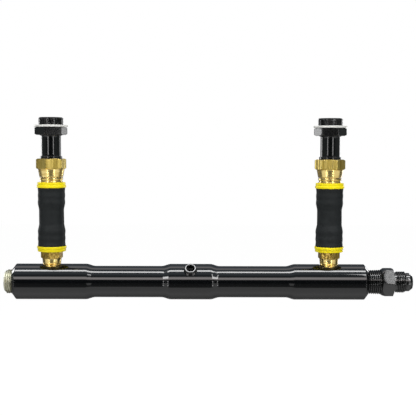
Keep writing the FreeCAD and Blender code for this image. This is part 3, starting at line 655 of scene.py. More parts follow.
def brass(name, dull, bright, roughness, grain, depth, stretch):
    """Free-cutting brass: a yellow metal with a thin, uneven tarnish, colour = mix(dull, bright, noise).

    The marks are noise 1 / grain metres across, from 0.7 to 1.1 mm so that they can show, and depth
    millimetres deep. The tarnish is twice as broad. Both are stretched round the axis where a tool
    turned the brass, and along it on drawn bar.
    """
    material, tree, surface = new_material(name, {"Metallic": 1.0})
    place = add(tree, "ShaderNodeTexCoord").outputs["Object"]
    stretched = add(tree, "ShaderNodeMapping", None, {"Vector": place, "Scale": stretch}).outputs[0]
    tarnish = add(
        tree,
        "ShaderNodeTexNoise",
        None,
        {"Vector": stretched, "Scale": grain / 2, "Detail": 3.0},
    )
    clear = add(
        tree,
        "ShaderNodeMapRange",
        None,
        {"Value": tarnish.outputs["Fac"], "From Min": 0.36, "From Max": 0.64},
    )
    colour = add(
        tree,
        "ShaderNodeMix",
        {"data_type": "RGBA"},
        {0: clear.outputs[0], 6: linear(dull), 7: linear(bright)},
    )
    tree.links.new(colour.outputs[2], surface.inputs["Base Color"])
    rough = add(
        tree,
        "ShaderNodeMapRange",
        None,
        {
            "Value": clear.outputs[0],
            "To Min": roughness * TARNISH_ROUGHER,
            "To Max": roughness * CLEAR_SMOOTHER,
        },
    )
    tree.links.new(rough.outputs[0], surface.inputs["Roughness"])
    marks = add(tree, "ShaderNodeTexNoise", None, {"Vector": stretched, "Scale": grain, "Detail": 2.0})
    bump = add(
        tree,
        "ShaderNodeBump",
        None,
        {"Height": marks.outputs["Fac"], "Strength": 1.0, "Distance": depth * MM},
    )
    tree.links.new(bump.outputs[0], surface.inputs["Normal"])
    return material


turned_brass = brass("turned_brass", "#c9ae66", "#e2cc88", 0.26, 1400.0, 0.02, (0.1, 0.1, 1.0))
tarnished_brass = brass("tarnished_brass_bar", "#6f5a26", "#b79b50", 0.36, 1300.0, 0.1, (1.0, 1.0, 0.6))


def on_axis(low, high, level):
    """The point at a level on the upright axis through the middle of a branch's box."""
    return (low[0] + high[0]) / 2, 0, level


def tail(start, way):
    """Outline of a barbed tail from its base to its tip: square steps that face the base, and cones."""
    root = TAIL_ROOT_OD / 2
    crest = TAIL_CREST_OD / 2
    runs = [(root, start)]
    for barb in range(BARBS):
        level = start + way * (TAIL_BASE + barb * BARB_PITCH)
        runs += [(root, level), (crest, level)]
    tip = start + way * (TAIL_BASE + BARBS * BARB_PITCH)
    return runs + [(root, tip - way * TAIL_BEVEL), (root - TAIL_BEVEL, tip)]


for side in SIDES:
    low, high = span(f"{side}_lower_fitting")
    ring_low, ring_high = span(f"{side}_lower_collar")
    base = on_axis(ring_low, ring_high, ring_low[2])
    foot = low[2] - ring_low[2]
    neck_end = -LOWER_HEX_HEIGHT - LOWER_NECK
    foot_r = LOWER_THREAD_OD / 2 - (neck_end - foot) * PIPE_SLOPE
    angle = hexagon_angles(HEX_COLUMNS, LOWER_TURN[side])
    flat = broken_hexagon(angle, LOWER_FLATS, LOWER_TURN[side])
    tail_line = tail(RING_PLATE, 1)
    tip = tail_line[-1][1]
    outline = [
        (TAIL_BORE / 2, foot + BORE_BEVEL),
        (TAIL_BORE / 2 + BORE_BEVEL, foot),
        (foot_r - LOWER_BEVEL, foot),
        (foot_r, foot + LOWER_BEVEL, BRASS_EASE, LOWER_PITCH / THREAD_ROWS),
        (LOWER_THREAD_OD / 2, neck_end),
        (LOWER_NECK_END_OD / 2, neck_end + LOWER_NECK_STEP),
        (LOWER_NECK_TOP_OD / 2, -LOWER_HEX_HEIGHT, LOWER_NECK_EASE),
        (flat, (flat - LOWER_NECK_TOP_OD / 2) * HEX_BEVEL - LOWER_HEX_HEIGHT, CRISP_EASE),
        (flat, (LOWER_FLATS / 2 - flat) * HEX_BEVEL, CRISP_EASE),
        (LOWER_FLATS / 2, 0),
        (TAIL_ROOT_OD / 2, 0),
        *tail_line,
        (TAIL_BORE / 2, tip),
    ]
    radius, along = eased(outline, ease=BRASS_EASE, pieces=3)
    flats = on_flats(radius, along, flat, -LOWER_HEX_HEIGHT, 0)
    thread_end = neck_end + LOWER_THREAD_STOP
    cut = thread(along, angle, LOWER_PITCH, LOWER_THREAD_DEPTH, foot, thread_end, LOWER_THREAD_FADE)
    radius = radius - np.where(radius > TAIL_BORE / 2 + THINNEST_WALL, cut, 0)
    piece = turned(f"{side}_lower_fitting_skin", radius, along, angle, base, UPRIGHT, ring=True, flats=flats)
    piece.data.materials.append(turned_brass)
    piece.data.materials.append(tarnished_brass)
    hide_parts(f"{side}_lower_fitting")
    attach(piece, "root")

# The yellow rings are moulded nylon cups. Each covers a cut end of the hose, with its closed end
# against the brass, and has a shallow groove between its thin back and its thicker lip.
RING_BACK_OD = 25.0
RING_LIP_OD = 26.0
RING_HEIGHT = 4.7
RING_GROOVE_OD = 24.84
RING_GROOVE_AT = 2.1
RING_GROOVE = 0.4
RING_BORE = 16.4
RING_INSIDE = 24.7
RING_EASE = 0.6
RING_FINE_EASE = 0.1
RING_SLOPE = 0.15
RING_LIP_SLOPE = 0.3
ROUND_COLUMNS = 128
TURNED_OVER = ((1, 0, 0), (0, -1, 0), (0, 0, -1))
YELLOW = "#decc02"


def yellow_nylon():
    """Moulded yellow nylon: slightly soft and waxy, light comes a little way through the thin lip.

    A mottle 2.5 mm across, as left by the mould, varies its gloss.
    """
    material, tree, surface = new_material(
        "yellow_moulded_nylon",
        {
            "Base Color": linear(YELLOW),
            "Specular IOR Level": 0.25,
            "Subsurface Weight": 0.12,
            "Subsurface Radius": (1.0, 0.7, 0.1),
            "Subsurface Scale": 1.2 * MM,
        },
    )
    place = add(tree, "ShaderNodeTexCoord").outputs["Object"]
    mottle = add(tree, "ShaderNodeTexNoise", None, {"Vector": place, "Scale": 400.0, "Detail": 3.0})
    rough = add(
        tree,
        "ShaderNodeMapRange",
        None,
        {"Value": mottle.outputs["Fac"], "From Min": 0.3, "From Max": 0.7, "To Min": 0.32, "To Max": 0.48},
    )
    tree.links.new(rough.outputs[0], surface.inputs["Roughness"])
    return material


ring_yellow = yellow_nylon()
ring_outline = [
    (RING_BORE / 2, BORE_BEVEL),
    (RING_BORE / 2 + BORE_BEVEL, 0),
    (RING_BACK_OD / 2, 0, RING_EASE),
    (RING_BACK_OD / 2, RING_GROOVE_AT, 0.15),
    (RING_GROOVE_OD / 2, RING_GROOVE_AT + RING_SLOPE),
    (RING_GROOVE_OD / 2, RING_GROOVE_AT + RING_GROOVE),
    (RING_LIP_OD / 2, RING_GROOVE_AT + RING_GROOVE + RING_LIP_SLOPE, 0.3),
    (RING_LIP_OD / 2, RING_HEIGHT, RING_EASE),
    (RING_INSIDE / 2, RING_HEIGHT, 0.2),
    (RING_INSIDE / 2, RING_PLATE),
    (RING_BORE / 2, RING_PLATE),
]
ring_radius, ring_along = eased(ring_outline, step=1.0, ease=RING_FINE_EASE, pieces=6)
for side in SIDES:
    for end, ways in (("lower", UPRIGHT), ("upper", TURNED_OVER)):
        node = f"{side}_{end}_collar"
        low, high = span(node)
        back = low[2] if end == "lower" else high[2]
        base = on_axis(low, high, back)
        angle = round_angles(ROUND_COLUMNS)
        piece = turned(f"{node}_skin", ring_radius, ring_along, angle, base, ways, ring=True)
        piece.data.materials.append(ring_yellow)
        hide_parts(node)
        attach(piece, "root")

# The hoses are short lengths of push-on fuel hose: a black rubber tube and cover over braid. They
# are forced over the barbs, so they swell at each barb and draw in to a waist between the two tails.
HOSE_R = 12.1
HOSE_WAIST_R = 11.0
HOSE_BARB_DIP = 0.22
HOSE_BORE_WAIST_R = 6.5
HOSE_TAIL = TAIL_BASE + BARBS * BARB_PITCH
HOSE_WAIST_LEAD = 5.0
HOSE_WAIST_RUN = 5.6
HOSE_SWAY = 0.7
HOSE_SWAY_RUN = 6.0
HOSE_GRIP = 0.05
HOSE_BORE_STEP = 0.3
HOSE_BORE_CONE = 2.3
HOSE_ROWS = 150
HOSE_COLUMNS = 160
HOSE_BLACK = "#0c1011"
HOSE_DUST = "#15191a"


def rubber_cover():
    """Nitrile rubber cover: matte black, with a fine grit from the cloth it was cured in.

    The grit is 0.6 mm across, and a noise 7 mm across gives the dusty grey of handled rubber.
    """
    material, tree, surface = new_material(
        "nitrile_rubber_cover",
        {"Roughness": 0.65, "Specular IOR Level": 0.2},
    )
    place = add(tree, "ShaderNodeTexCoord").outputs["Object"]
    dust = add(tree, "ShaderNodeTexNoise", None, {"Vector": place, "Scale": 140.0, "Detail": 5.0})
    colour = add(tree, "ShaderNodeValToRGB", None, {"Fac": dust.outputs["Fac"]})
    colour.color_ramp.elements[0].position = 0.35
    colour.color_ramp.elements[0].color = linear(HOSE_BLACK)
    colour.color_ramp.elements[1].position = 0.75
    colour.color_ramp.elements[1].color = linear(HOSE_DUST)
    tree.links.new(colour.outputs["Color"], surface.inputs["Base Color"])
    grit = add(tree, "ShaderNodeTexNoise", None, {"Vector": place, "Scale": 1800.0, "Detail": 3.0})
    bump = add(
        tree,
        "ShaderNodeBump",
        None,
        {"Height": grit.outputs["Fac"], "Strength": 0.25, "Distance": 0.2 * MM},
    )
    tree.links.new(bump.outputs[0], surface.inputs["Normal"])
    return material


def hose_outside(length, angle, order):
    """Levels along a hose and its outer radius there: a row for each level, a column for each angle.

    The radius steps smoothly from the ends to the waist, less a cosine dip between barbs near the ends.
    Two low sine waves that turn along the hose make it a little uneven, and die out towards its ends.
    """
    level = np.linspace(0, length, HOSE_ROWS)[:, None]
    from_end = np.minimum(level, length - level)
    waist = ease_step((from_end - HOSE_TAIL + HOSE_WAIST_LEAD) / HOSE_WAIST_RUN)
    barb_wave = np.mod((from_end - TAIL_BASE) / BARB_PITCH, 1.0)
    dip = HOSE_BARB_DIP * (0.5 - 0.5 * np.cos(2 * math.pi * barb_wave)) * (1 - waist)
    oval = 0.10 * np.sin(2 * angle + 0.09 * level + order)
    lobes = 0.06 * np.sin(3 * angle - 0.23 * level + 2 * order)
    sway = (oval + lobes) * ease_step(from_end / HOSE_SWAY_RUN) * HOSE_SWAY
    return level, HOSE_R + (HOSE_WAIST_R - HOSE_R) * waist - dip + sway


hose_rubber = rubber_cover()
for order, side in enumerate(SIDES):
    node = f"{side}_hose"
    low, high = span(node)
    length = high[2] - low[2]
    base = on_axis(low, high, low[2])
    angle = round_angles(HOSE_COLUMNS)
    level, outside = hose_outside(length, angle, order)
    grip = [(r + HOSE_GRIP, s) for r, s in tail(0, 1)[:-2]]
    root = TAIL_ROOT_OD / 2 + HOSE_GRIP
    bore_r, bore_s = eased(
        [
            *grip,
            (root, HOSE_TAIL + HOSE_BORE_STEP),
            (HOSE_BORE_WAIST_R, HOSE_TAIL + HOSE_BORE_CONE),
            (HOSE_BORE_WAIST_R, length - HOSE_TAIL - HOSE_BORE_CONE),
            (root, length - HOSE_TAIL - HOSE_BORE_STEP),
            *[(r, length - s) for r, s in grip[::-1]],
        ],
        step=4.0,
        ease=CRISP_EASE,
        pieces=1,
    )
    inside = np.broadcast_to(bore_r[::-1], (len(bore_r), HOSE_COLUMNS))
    radius = np.concatenate([outside, inside])
    along = np.concatenate([level, bore_s[::-1]])
    piece = turned(f"{node}_skin", radius, along, angle, base, UPRIGHT, ring=True)
    piece.data.materials.append(hose_rubber)
    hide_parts(node)
    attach(piece, "root")

# Each hose stem is turned brass: a barbed tail in the hose, a flange, groove and bead above the
# yellow ring, and a head with a cone seat, which the swivel nut pulls up onto the fitting above.
STEM_FLANGE_OD = 20.0
STEM_FLANGE = 1.1
STEM_GROOVE_OD = 19.0
STEM_GROOVE = 1.2
STEM_BEAD_OD = 20.6
STEM_BEAD = 2.1
STEM_BEAD_EASE = 0.5
STEM_GROOVE_SLOPE = 0.15
STEM_BEAD_SLOPE = 0.1
STEM_NECK_OD = 14.4
STEM_HEAD_OD = 17.8
STEM_HEAD = 3.0
NUT_FLOAT = 0.4
NUT_LIP = 1.2
for side in SIDES:
    ring_low, ring_high = span(f"{side}_upper_collar")
    base = on_axis(ring_low, ring_high, ring_high[2])
    groove = STEM_FLANGE + STEM_GROOVE
    bead = groove + STEM_BEAD
    head = bead + NUT_FLOAT + NUT_LIP
    head_top = head + STEM_HEAD
    seat_r = FLARE_TIP_R + STEM_HEAD * FLARE_SLOPE
    tail_line = tail(-RING_PLATE, -1)[::-1]
    outline = [
        (TAIL_BORE / 2, tail_line[0][1]),
        *tail_line,
        (TAIL_ROOT_OD / 2, 0),
        (STEM_FLANGE_OD / 2, 0, 0.25),
        (STEM_FLANGE_OD / 2, STEM_FLANGE, 0.3),
        (STEM_GROOVE_OD / 2, STEM_FLANGE + STEM_GROOVE_SLOPE, 0.15),
        (STEM_GROOVE_OD / 2, groove, 0.2),
        (STEM_BEAD_OD / 2, groove + STEM_BEAD_SLOPE, STEM_BEAD_EASE),
        (STEM_BEAD_OD / 2, bead, STEM_BEAD_EASE),
        (STEM_NECK_OD / 2, bead),
        (STEM_NECK_OD / 2, head),
        (STEM_HEAD_OD / 2, head),
        (STEM_HEAD_OD / 2, head_top),
        (seat_r, head_top),
        (FLARE_TIP_R, head),
        (TAIL_BORE / 2, head),
    ]
    radius, along = eased(outline, step=1.0, ease=CRISP_EASE, pieces=5)
    angle = round_angles(ROUND_COLUMNS)
    piece = turned(f"{side}_hose_stem_skin", radius, along, angle, base, UPRIGHT, ring=True)
    piece.data.materials.append(turned_brass)
    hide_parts(f"{side}_hose_stem")
    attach(piece, "root")

# Each swivel nut is turned from hexagon brass bar: flats for the spanner above, a polished tapered
# skirt below, a thread bore, and a lip inside that catches the stem's head.
NUT_FLATS = 23.8
NUT_SKIRT = 7.0
NUT_SKIRT_TOP_OD = 23.4
NUT_SKIRT_END_OD = 20.8
NUT_GAP = 0.05
NUT_LIP_BEVEL = 0.2
NUT_MOUTH = 0.5
NUT_COLUMNS = 28
NUT_TURN = {"left": math.radians(21.0), "right": math.radians(50.1)}
bar_brass = brass("drawn_brass_bar", "#8a7836", "#cdb766", 0.48, 900.0, 0.2, (1.0, 1.0, 0.03))
for side in SIDES:
    low, high = span(f"{side}_swivel_nut")
    ring_low, ring_high = span(f"{side}_upper_collar")
    base = on_axis(ring_low, ring_high, low[2])
    top = high[2] - low[2]
    angle = hexagon_angles(NUT_COLUMNS, NUT_TURN[side])
    flat = broken_hexagon(angle, NUT_FLATS, NUT_TURN[side])
    bore = FLARE_THREAD_OD / 2 + NUT_GAP
    lip_bore = STEM_NECK_OD / 2 + NUT_GAP
    outline = [
        (lip_bore, NUT_LIP_BEVEL),
        (lip_bore + NUT_LIP_BEVEL, 0),
        (NUT_SKIRT_END_OD / 2, 0, 0.35),
        (NUT_SKIRT_TOP_OD / 2, NUT_SKIRT, 0.3),
        (flat, NUT_SKIRT + (flat - NUT_SKIRT_TOP_OD / 2) * HEX_BEVEL, CRISP_EASE),
        (flat, top - (flat - NUT_FLATS / 2) * HEX_BEVEL, CRISP_EASE),
        (NUT_FLATS / 2, top),
        (bore + NUT_MOUTH, top),
        (bore, top - NUT_MOUTH),
        (bore, NUT_LIP),
        (lip_bore, NUT_LIP),
    ]
    radius, along = eased(outline, ease=BRASS_EASE, pieces=3)
    flats = on_flats(radius, along, flat, NUT_SKIRT, top)
    piece = turned(f"{side}_swivel_nut_skin", radius, along, angle, base, UPRIGHT, ring=True, flats=flats)
    piece.data.materials.append(turned_brass)
    piece.data.materials.append(bar_brass)
    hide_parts(f"{side}_swivel_nut")
    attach(piece, "root")

# Each inlet fitting is turned from hexagon alloy bar and black anodised: a carburettor thread on
# top, a hexagon, a long barrel, and below its shoulder the flared end that the swivel nut holds.
INLET_THREAD_OD = 22.2
INLET_PITCH = 1.27
INLET_THREAD_DEPTH = 0.7
INLET_THREAD_LEAD = 0.1
INLET_THREAD_STOP = 0.3
INLET_THREAD_FADE = 0.6
INLET_RIM_STEP = 0.3
INLET_BEVEL = 0.8
INLET_MOUTH = 0.6
INLET_RELIEF_OD = 20.6
INLET_RELIEF_END = 0.4
INLET_FLATS = 25.4
INLET_HEX_HEIGHT = 7.0
INLET_CONE = 0.8
INLET_CONE_OD = 20.8
INLET_BARREL_OD = 17.4
INLET_BARREL = 18.8
SHOULDER_OD = 19.4
SHOULDER = 2.1
SHOULDER_RELIEF = 0.9
INLET_TURN = {"left": math.radians(16.3), "right": math.radians(52.2)}
for side in SIDES:
    node = f"{side}_inlet_fitting"
    low, high = span(node)
    washer_low, washer_high = span(f"{side}_sealing_washer")
    base = on_axis(washer_low, washer_high, washer_low[2])
    top = high[2] - base[2]
    seat = washer_high[2] - base[2]
    shoulder_at = -INLET_HEX_HEIGHT - INLET_BARREL
    relief = SHOULDER + SHOULDER_RELIEF
    angle = hexagon_angles(HEX_COLUMNS, INLET_TURN[side])
    flat = broken_hexagon(angle, INLET_FLATS, INLET_TURN[side])
    drop = (flat - INLET_FLATS / 2) * HEX_BEVEL
    row = FLARE_PITCH / THREAD_ROWS
    nose = [(*run[:2], MACHINED_EASE, row) for run in flare_end(shoulder_at, -1, relief)[::-1]]
    outline = [
        (FLOW_BORE / 2, nose[0][1] + BORE_BEVEL),
        (FLOW_BORE / 2 + BORE_BEVEL, nose[0][1]),
        *nose,
        (FLARE_ROOT_OD / 2, shoulder_at - SHOULDER),
        (SHOULDER_OD / 2, shoulder_at - SHOULDER, 0.2),
        (SHOULDER_OD / 2, shoulder_at, 0.3),
        (INLET_BARREL_OD / 2, shoulder_at, 0.25),
        (INLET_BARREL_OD / 2, -INLET_HEX_HEIGHT - INLET_CONE, 0.25),
        (INLET_CONE_OD / 2, -INLET_HEX_HEIGHT, 0.2),
        (INLET_FLATS / 2, -INLET_HEX_HEIGHT),
        (flat, drop - INLET_HEX_HEIGHT, CRISP_EASE),
        (flat, -drop, CRISP_EASE),
        (INLET_FLATS / 2, 0),
        (INLET_RELIEF_OD / 2, 0),
        (INLET_RELIEF_OD / 2, seat - INLET_RELIEF_END),
        (INLET_THREAD_OD / 2, seat + INLET_THREAD_LEAD, MACHINED_EASE, INLET_PITCH / THREAD_ROWS),
        (INLET_THREAD_OD / 2, top - INLET_BEVEL, MACHINED_EASE, INLET_RIM_STEP),
        (INLET_THREAD_OD / 2 - INLET_BEVEL, top, 0.2),
        (FLOW_BORE / 2 + INLET_MOUTH, top),
        (FLOW_BORE / 2, top - INLET_MOUTH),
    ]
    radius, along = eased(outline, ease=MACHINED_EASE, pieces=3)
    flats = on_flats(radius, along, flat, -INLET_HEX_HEIGHT, 0)
    thread_end = top + INLET_THREAD_STOP
    cut = thread(along, angle, INLET_PITCH, INLET_THREAD_DEPTH, seat, thread_end, INLET_THREAD_FADE)
    low, high = shoulder_at - FLARE_THREAD_END, shoulder_at - relief
    cut = cut + thread(along, angle, FLARE_PITCH, FLARE_THREAD_DEPTH, low, high, FLARE_THREAD_FADE)
    radius = radius - np.where(radius > FLOW_BORE / 2 + THINNEST_WALL, cut, 0)
    piece = turned(f"{node}_skin", radius, along, angle, base, UPRIGHT, ring=True, flats=flats)
    piece.data.materials.append(fitting_black)
    piece.data.materials.append(fitting_flats)
    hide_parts(node)
    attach(piece, "root")

# The sealing washers are flat rings stamped from white nylon sheet. Each lies on the hexagon of its
# inlet fitting, round the foot of the thread, and seals it where it is screwed in.
WASHER_OD = 29.6
WASHER_BORE = 22.5
WASHER_EASE = 0.35
WASHER_BEVEL = 0.2
WHITE = "#c6c6c2"


def white_nylon():
    """White nylon stamped from sheet: milky and slightly glossy, with a fine grain 0.7 mm across."""
    material, tree, surface = new_material(
        "white_nylon",
        {
            "Base Color": linear(WHITE),
            "Roughness": 0.4,
            "IOR": 1.53,
            "Subsurface Weight": 0.2,
            "Subsurface Radius": (1.0, 1.0, 0.9),
            "Subsurface Scale": 1.0 * MM,
        },
    )
    place = add(tree, "ShaderNodeTexCoord").outputs["Object"]
    grain = add(tree, "ShaderNodeTexNoise", None, {"Vector": place, "Scale": 1500.0, "Detail": 2.0})
    bump = add(
        tree,
        "ShaderNodeBump",
        None,
        {"Height": grain.outputs["Fac"], "Strength": 0.1, "Distance": 0.1 * MM},
    )
    tree.links.new(bump.outputs[0], surface.inputs["Normal"])
    return material


washer_white = white_nylon()
for side in SIDES:
    node = f"{side}_sealing_washer"
    low, high = span(node)
    thick = high[2] - low[2]
    outline = [
        (WASHER_BORE / 2, WASHER_BEVEL),
        (WASHER_BORE / 2 + WASHER_BEVEL, 0),
        (WASHER_OD / 2, 0, WASHER_EASE),
        (WASHER_OD / 2, thick, WASHER_EASE),
        (WASHER_BORE / 2 + WASHER_BEVEL, thick),
        (WASHER_BORE / 2, thick - WASHER_BEVEL),
    ]
    radius, along = eased(outline, step=1.0, ease=CRISP_EASE, pieces=5)
    angle = round_angles(ROUND_COLUMNS)
    base = on_axis(low, high, low[2])
    piece = turned(f"{node}_skin", radius, along, angle, base, UPRIGHT, ring=True)
    piece.data.materials.append(washer_white)
    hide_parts(node)
    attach(piece, "root")

# The studio: a pale floor well below the hanging log and a white backdrop. Shiny pieces see a room in
# bands, dark in front and light above, and softboxes overhead, beside the camera and behind.
FLOOR_DROP = 0.45
FLOOR_SIZE = 12.0
WHITE_LEVEL = 1.0
DIFFUSE_LEVEL = 0.38
FLOOR_GLOW = 1.11
FLOOR_MIRROR = {"front": 1.15, "back": 0.12}
FLOOR_DEPTHS = {"front": -0.1, "back": 0.25}
LANE_HALF_WIDTHS = {"dark": 0.22, "lit": 0.34}
LANE_SPREAD = 0.25
LANE_STARTS = {"dark": -0.86, "lit": -0.7}
LANE_LEVEL = 0.06
GLOW_SHARE = 0.85
PAPER = (0.85, 0.85, 0.85, 1)
ROOM_PEAK = 5.2
# Brightness that a shiny piece sees at angles round X: 0 is level to the front, 90 straight up.
# The lit bands are a little rosy and the dim ones a little blue.
ROOM_BANDS = (
    (-180, 0.1),
    (-60, 0.6),
    (-30, 0.05),
    (-20, 0.03),
    (19, 0.03),
    (25, 5.2),
    (34, 5.2),
    (41, 0.35),
    (47, 0.25),
    (60, 0.85),
    (74, 0.85),
    (92, 0.5),
    (104, 0.9),
    (112, 2.1),
    (117, 2.1),
    (125, 0.75),
    (140, 0.3),
    (158, 0.15),
    (180, 0.1),
)
ROOM_ROSE = (1.0, 0.94, 0.93)
ROOM_BLUE = (0.8, 0.9, 1.0)
ROOM_SIDE = (0.034, 0.038, 0.038, 1)
ROOM_SIDE_START = 0.7
ROOM_SIDE_END = 0.85
AIM_HEIGHT = 60.0
AIM = np.array([LOG_MID[0], 0, LOG_MID[2] + AIM_HEIGHT]) * MM


def ray_kinds(tree):
    """Two outputs that are 0 or 1: whether a ray is the camera's, and whether it is a reflection's."""
    rays = add(tree, "ShaderNodeLightPath")
    mirror = add(
        tree,
        "ShaderNodeMath",
        {"operation": "MAXIMUM"},
        {0: rays.outputs["Is Glossy Ray"], 1: rays.outputs["Is Transmission Ray"]},
    )
    return rays.outputs["Is Camera Ray"], mirror.outputs[0]


def by_ray(tree, camera_level, mirror_level, other_level):
    """A strength that is one value for camera rays, one for reflected and glass rays, one for others."""
    camera_ray, mirror_ray = ray_kinds(tree)
    unseen = add(
        tree,
        "ShaderNodeMix",
        {"data_type": "FLOAT"},
        {0: mirror_ray, 2: other_level, 3: mirror_level},
    )
    return add(
        tree,
        "ShaderNodeMix",
        {"data_type": "FLOAT"},
        {0: camera_ray, 2: unseen.outputs[0], 3: camera_level},
    ).outputs[0]


def pale_floor():
    """White paper floor: a glow that makes it as pale as the backdrop, over paper that takes the shadow."""
    material = bpy.data.materials.new("white_paper_floor")
    material.use_nodes = True
    tree = material.node_tree
    tree.nodes.clear()
    place = add(tree, "ShaderNodeNewGeometry").outputs["Position"]
    axes = add(tree, "ShaderNodeSeparateXYZ", None, {0: place})
    depth = add(
        tree,
        "ShaderNodeMapRange",
        None,
        {
            "Value": axes.outputs["Y"],
            "From Min": FLOOR_DEPTHS["front"],
            "From Max": FLOOR_DEPTHS["back"],
            "To Min": FLOOR_MIRROR["front"],
            "To Max": FLOOR_MIRROR["back"],
        },
    )
    # A dark lane starts below the camera and runs on forward, so faces that look forward stay dark
    aside = add(tree, "ShaderNodeMath", {"operation": "SUBTRACT"}, {0: axes.outputs["X"], 1: float(AIM[0])})
    reach = add(tree, "ShaderNodeMath", {"operation": "ABSOLUTE"}, {0: aside.outputs[0]})
    spread = add(
        tree,
        "ShaderNodeMath",
        {"operation": "MULTIPLY_ADD"},
        {0: axes.outputs["Y"], 1: LANE_SPREAD, 2: reach.outputs[0]},
    )
    beside = add(
        tree,
        "ShaderNodeMapRange",
        None,
        {
            "Value": spread.outputs[0],
            "From Min": LANE_HALF_WIDTHS["dark"],
            "From Max": LANE_HALF_WIDTHS["lit"],
            "To Min": LANE_LEVEL,
        },
    )
    near = add(
        tree,
        "ShaderNodeMapRange",
        None,
        {
            "Value": axes.outputs["Y"],
            "From Min": LANE_STARTS["dark"],
            "From Max": LANE_STARTS["lit"],
        },
    )
    lit = add(tree, "ShaderNodeMath", {"operation": "MAXIMUM"}, {0: beside.outputs[0], 1: near.outputs[0]})
    reflected = add(
        tree,
        "ShaderNodeMath",
        {"operation": "MULTIPLY"},
        {0: depth.outputs[0], 1: lit.outputs[0]},
    )
    share = by_ray(tree, GLOW_SHARE, GLOW_SHARE, 0.0)
    level = by_ray(tree, FLOOR_GLOW, reflected.outputs[0], 0.0)
    paper = add(tree, "ShaderNodeBsdfDiffuse", None, {"Color": PAPER})
    glow = add(tree, "ShaderNodeEmission", None, {"Color": (1, 1, 1, 1), "Strength": level})
    mixed = add(tree, "ShaderNodeMixShader", None, {"Fac": share, 1: paper.outputs[0], 2: glow.outputs[0]})
    add(tree, "ShaderNodeOutputMaterial", None, {"Surface": mixed.outputs[0]})
    return material


floor_mesh = bpy.data.meshes.new("floor")
half_floor = FLOOR_SIZE / 2
floor_z = log_low[2] * MM - FLOOR_DROP
floor_mesh.from_pydata(
    [
        (-half_floor, -half_floor, floor_z),
        (half_floor, -half_floor, floor_z),
        (half_floor, half_floor, floor_z),
        (-half_floor, half_floor, floor_z),
    ],
    [],
    [(0, 1, 2, 3)],
)
floor_mesh.materials.append(pale_floor())
floor = bpy.data.objects.new("floor", floor_mesh)
bpy.context.collection.objects.link(floor)

world = bpy.data.worlds.new("studio")
bpy.context.scene.world = world
world.use_nodes = True
sky = world.node_tree
sky.nodes.clear()
direction = add(sky, "ShaderNodeTexCoord").outputs["Generated"]
axes = add(sky, "ShaderNodeSeparateXYZ", None, {0: direction})
forward = add(sky, "ShaderNodeMath", {"operation": "MULTIPLY"}, {0: axes.outputs["Y"], 1: -1.0})
turn = add(sky, "ShaderNodeMath", {"operation": "ARCTAN2"}, {0: axes.outputs["Z"], 1: forward.outputs[0]})
share = add(
    sky,
    "ShaderNodeMapRange",
    None,
    {"Value": turn.outputs[0], "From Min": -math.pi, "From Max": math.pi},
)
bands = add(sky, "ShaderNodeValToRGB", None, {"Fac": share.outputs[0]})
stops = bands.color_ramp.elements
for degrees, _ in ROOM_BANDS[1:-1]:
    stops.new((degrees + 180) / 360)
for stop, (degrees, level) in zip(stops, ROOM_BANDS):
    tint = ROOM_ROSE if level > 1 else ROOM_BLUE
    stop.color = (*[level / ROOM_PEAK * part for part in tint], 1)
# The room's sides are dim, so only faces that look forward or up show its bands
aside = add(sky, "ShaderNodeMath", {"operation": "ABSOLUTE"}, {0: axes.outputs["X"]})
beside = add(
    sky,
    "ShaderNodeMapRange",
    None,
    {"Value": aside.outputs[0], "From Min": ROOM_SIDE_START, "From Max": ROOM_SIDE_END},
)
room = add(
    sky,
    "ShaderNodeMix",
    {"data_type": "RGBA"},
    {0: beside.outputs[0], 6: bands.outputs["Color"], 7: ROOM_SIDE},
)
mirror_ray = ray_kinds(sky)[1]
colour = add(
    sky,
    "ShaderNodeMix",
    {"data_type": "RGBA"},
    {0: mirror_ray, 6: (1, 1, 1, 1), 7: room.outputs[2]},
)
shown = by_ray(sky, WHITE_LEVEL, ROOM_PEAK, DIFFUSE_LEVEL)
back = add(sky, "ShaderNodeBackground", None, {"Color": colour.outputs[2], "Strength": shown})
add(sky, "ShaderNodeOutputWorld", None, {"Surface": back.outputs[0]})


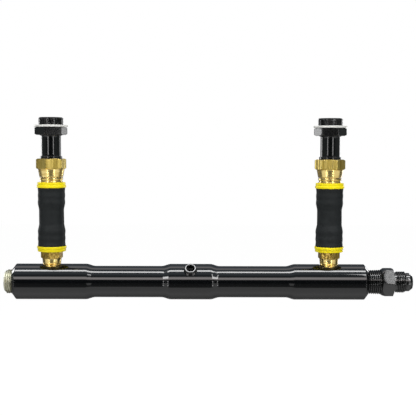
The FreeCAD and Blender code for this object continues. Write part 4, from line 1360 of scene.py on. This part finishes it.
def softbox(name, azimuth, elevation, distance, size, power):
    """A rectangular lamp that faces the part: aim + distance (sin a cos e, -cos a cos e, sin e).

    Angles are in degrees from the front and from level. Distance and size are in metres.
    """
    lamp = bpy.data.lights.new(name, "AREA")
    lamp.shape = "RECTANGLE"
    lamp.size, lamp.size_y = size
    lamp.energy = power
    a, e = math.radians(azimuth), math.radians(elevation)
    way = np.array([math.sin(a) * math.cos(e), -math.cos(a) * math.cos(e), math.sin(e)])
    holder = bpy.data.objects.new(name, lamp)
    bpy.context.collection.objects.link(holder)
    holder.location = AIM + way * distance
    holder.rotation_euler = Vector(way).to_track_quat("Z", "Y").to_euler()


KEY_SPREAD = 1.2
softbox("overhead", 0, 81, 1.1, (1.3, 0.22), 15.0)
for name, azimuth in (("left", -32), ("right", 30)):
    softbox(f"key_{name}", azimuth * KEY_SPREAD, 29, 1.3, (0.26, 0.3), 3.6)
    softbox(f"strip_{name}", azimuth, 3.3, 0.9, (0.12, 0.15), 0.34)
    softbox(f"neck_strip_{name}", azimuth, -9.2, 0.91, (0.12, 0.05), 0.12)
    softbox(f"low_strip_{name}", azimuth, -20.5, 0.96, (0.12, 0.09), 0.3)
softbox("card_adapter", 36, 43, 0.93, (0.12, 0.3), 1.3)
softbox("rim_right", 143, 0, 1.3, (0.25, 0.7), 2.4)
softbox("rim_left", -131, 4, 1.2, (0.25, 0.3), 1.6)

# The camera stands in front, a little above the log, and looks slightly down. Its place is in
# millimetres, and its focal length is given in pixels of the picture's width.
CAMERA_AT = (132.1, -789.8, -20.4)
CAMERA_YAW = math.radians(-0.54)
CAMERA_PITCH = math.radians(-3.84)
CAMERA_ROLL = math.radians(0.2)
FOCAL_PIXELS = 886.0
IMAGE_WIDTH = 416
camera_data = bpy.data.cameras.new("camera")
camera_data.sensor_fit = "HORIZONTAL"
camera_data.sensor_width = 36.0
camera_data.lens = camera_data.sensor_width * FOCAL_PIXELS / IMAGE_WIDTH
camera_data.clip_start = 0.05
camera_data.clip_end = 50
camera = bpy.data.objects.new("camera", camera_data)
bpy.context.collection.objects.link(camera)
camera.matrix_world = (
    Matrix.Translation([value * MM for value in CAMERA_AT])
    @ Matrix.Rotation(CAMERA_YAW, 4, "Z")
    @ Matrix.Rotation(math.pi / 2 + CAMERA_PITCH, 4, "X")
    @ Matrix.Rotation(CAMERA_ROLL, 4, "Z")
)
bpy.context.scene.camera = camera
bpy.context.scene.view_settings.view_transform = "Standard"
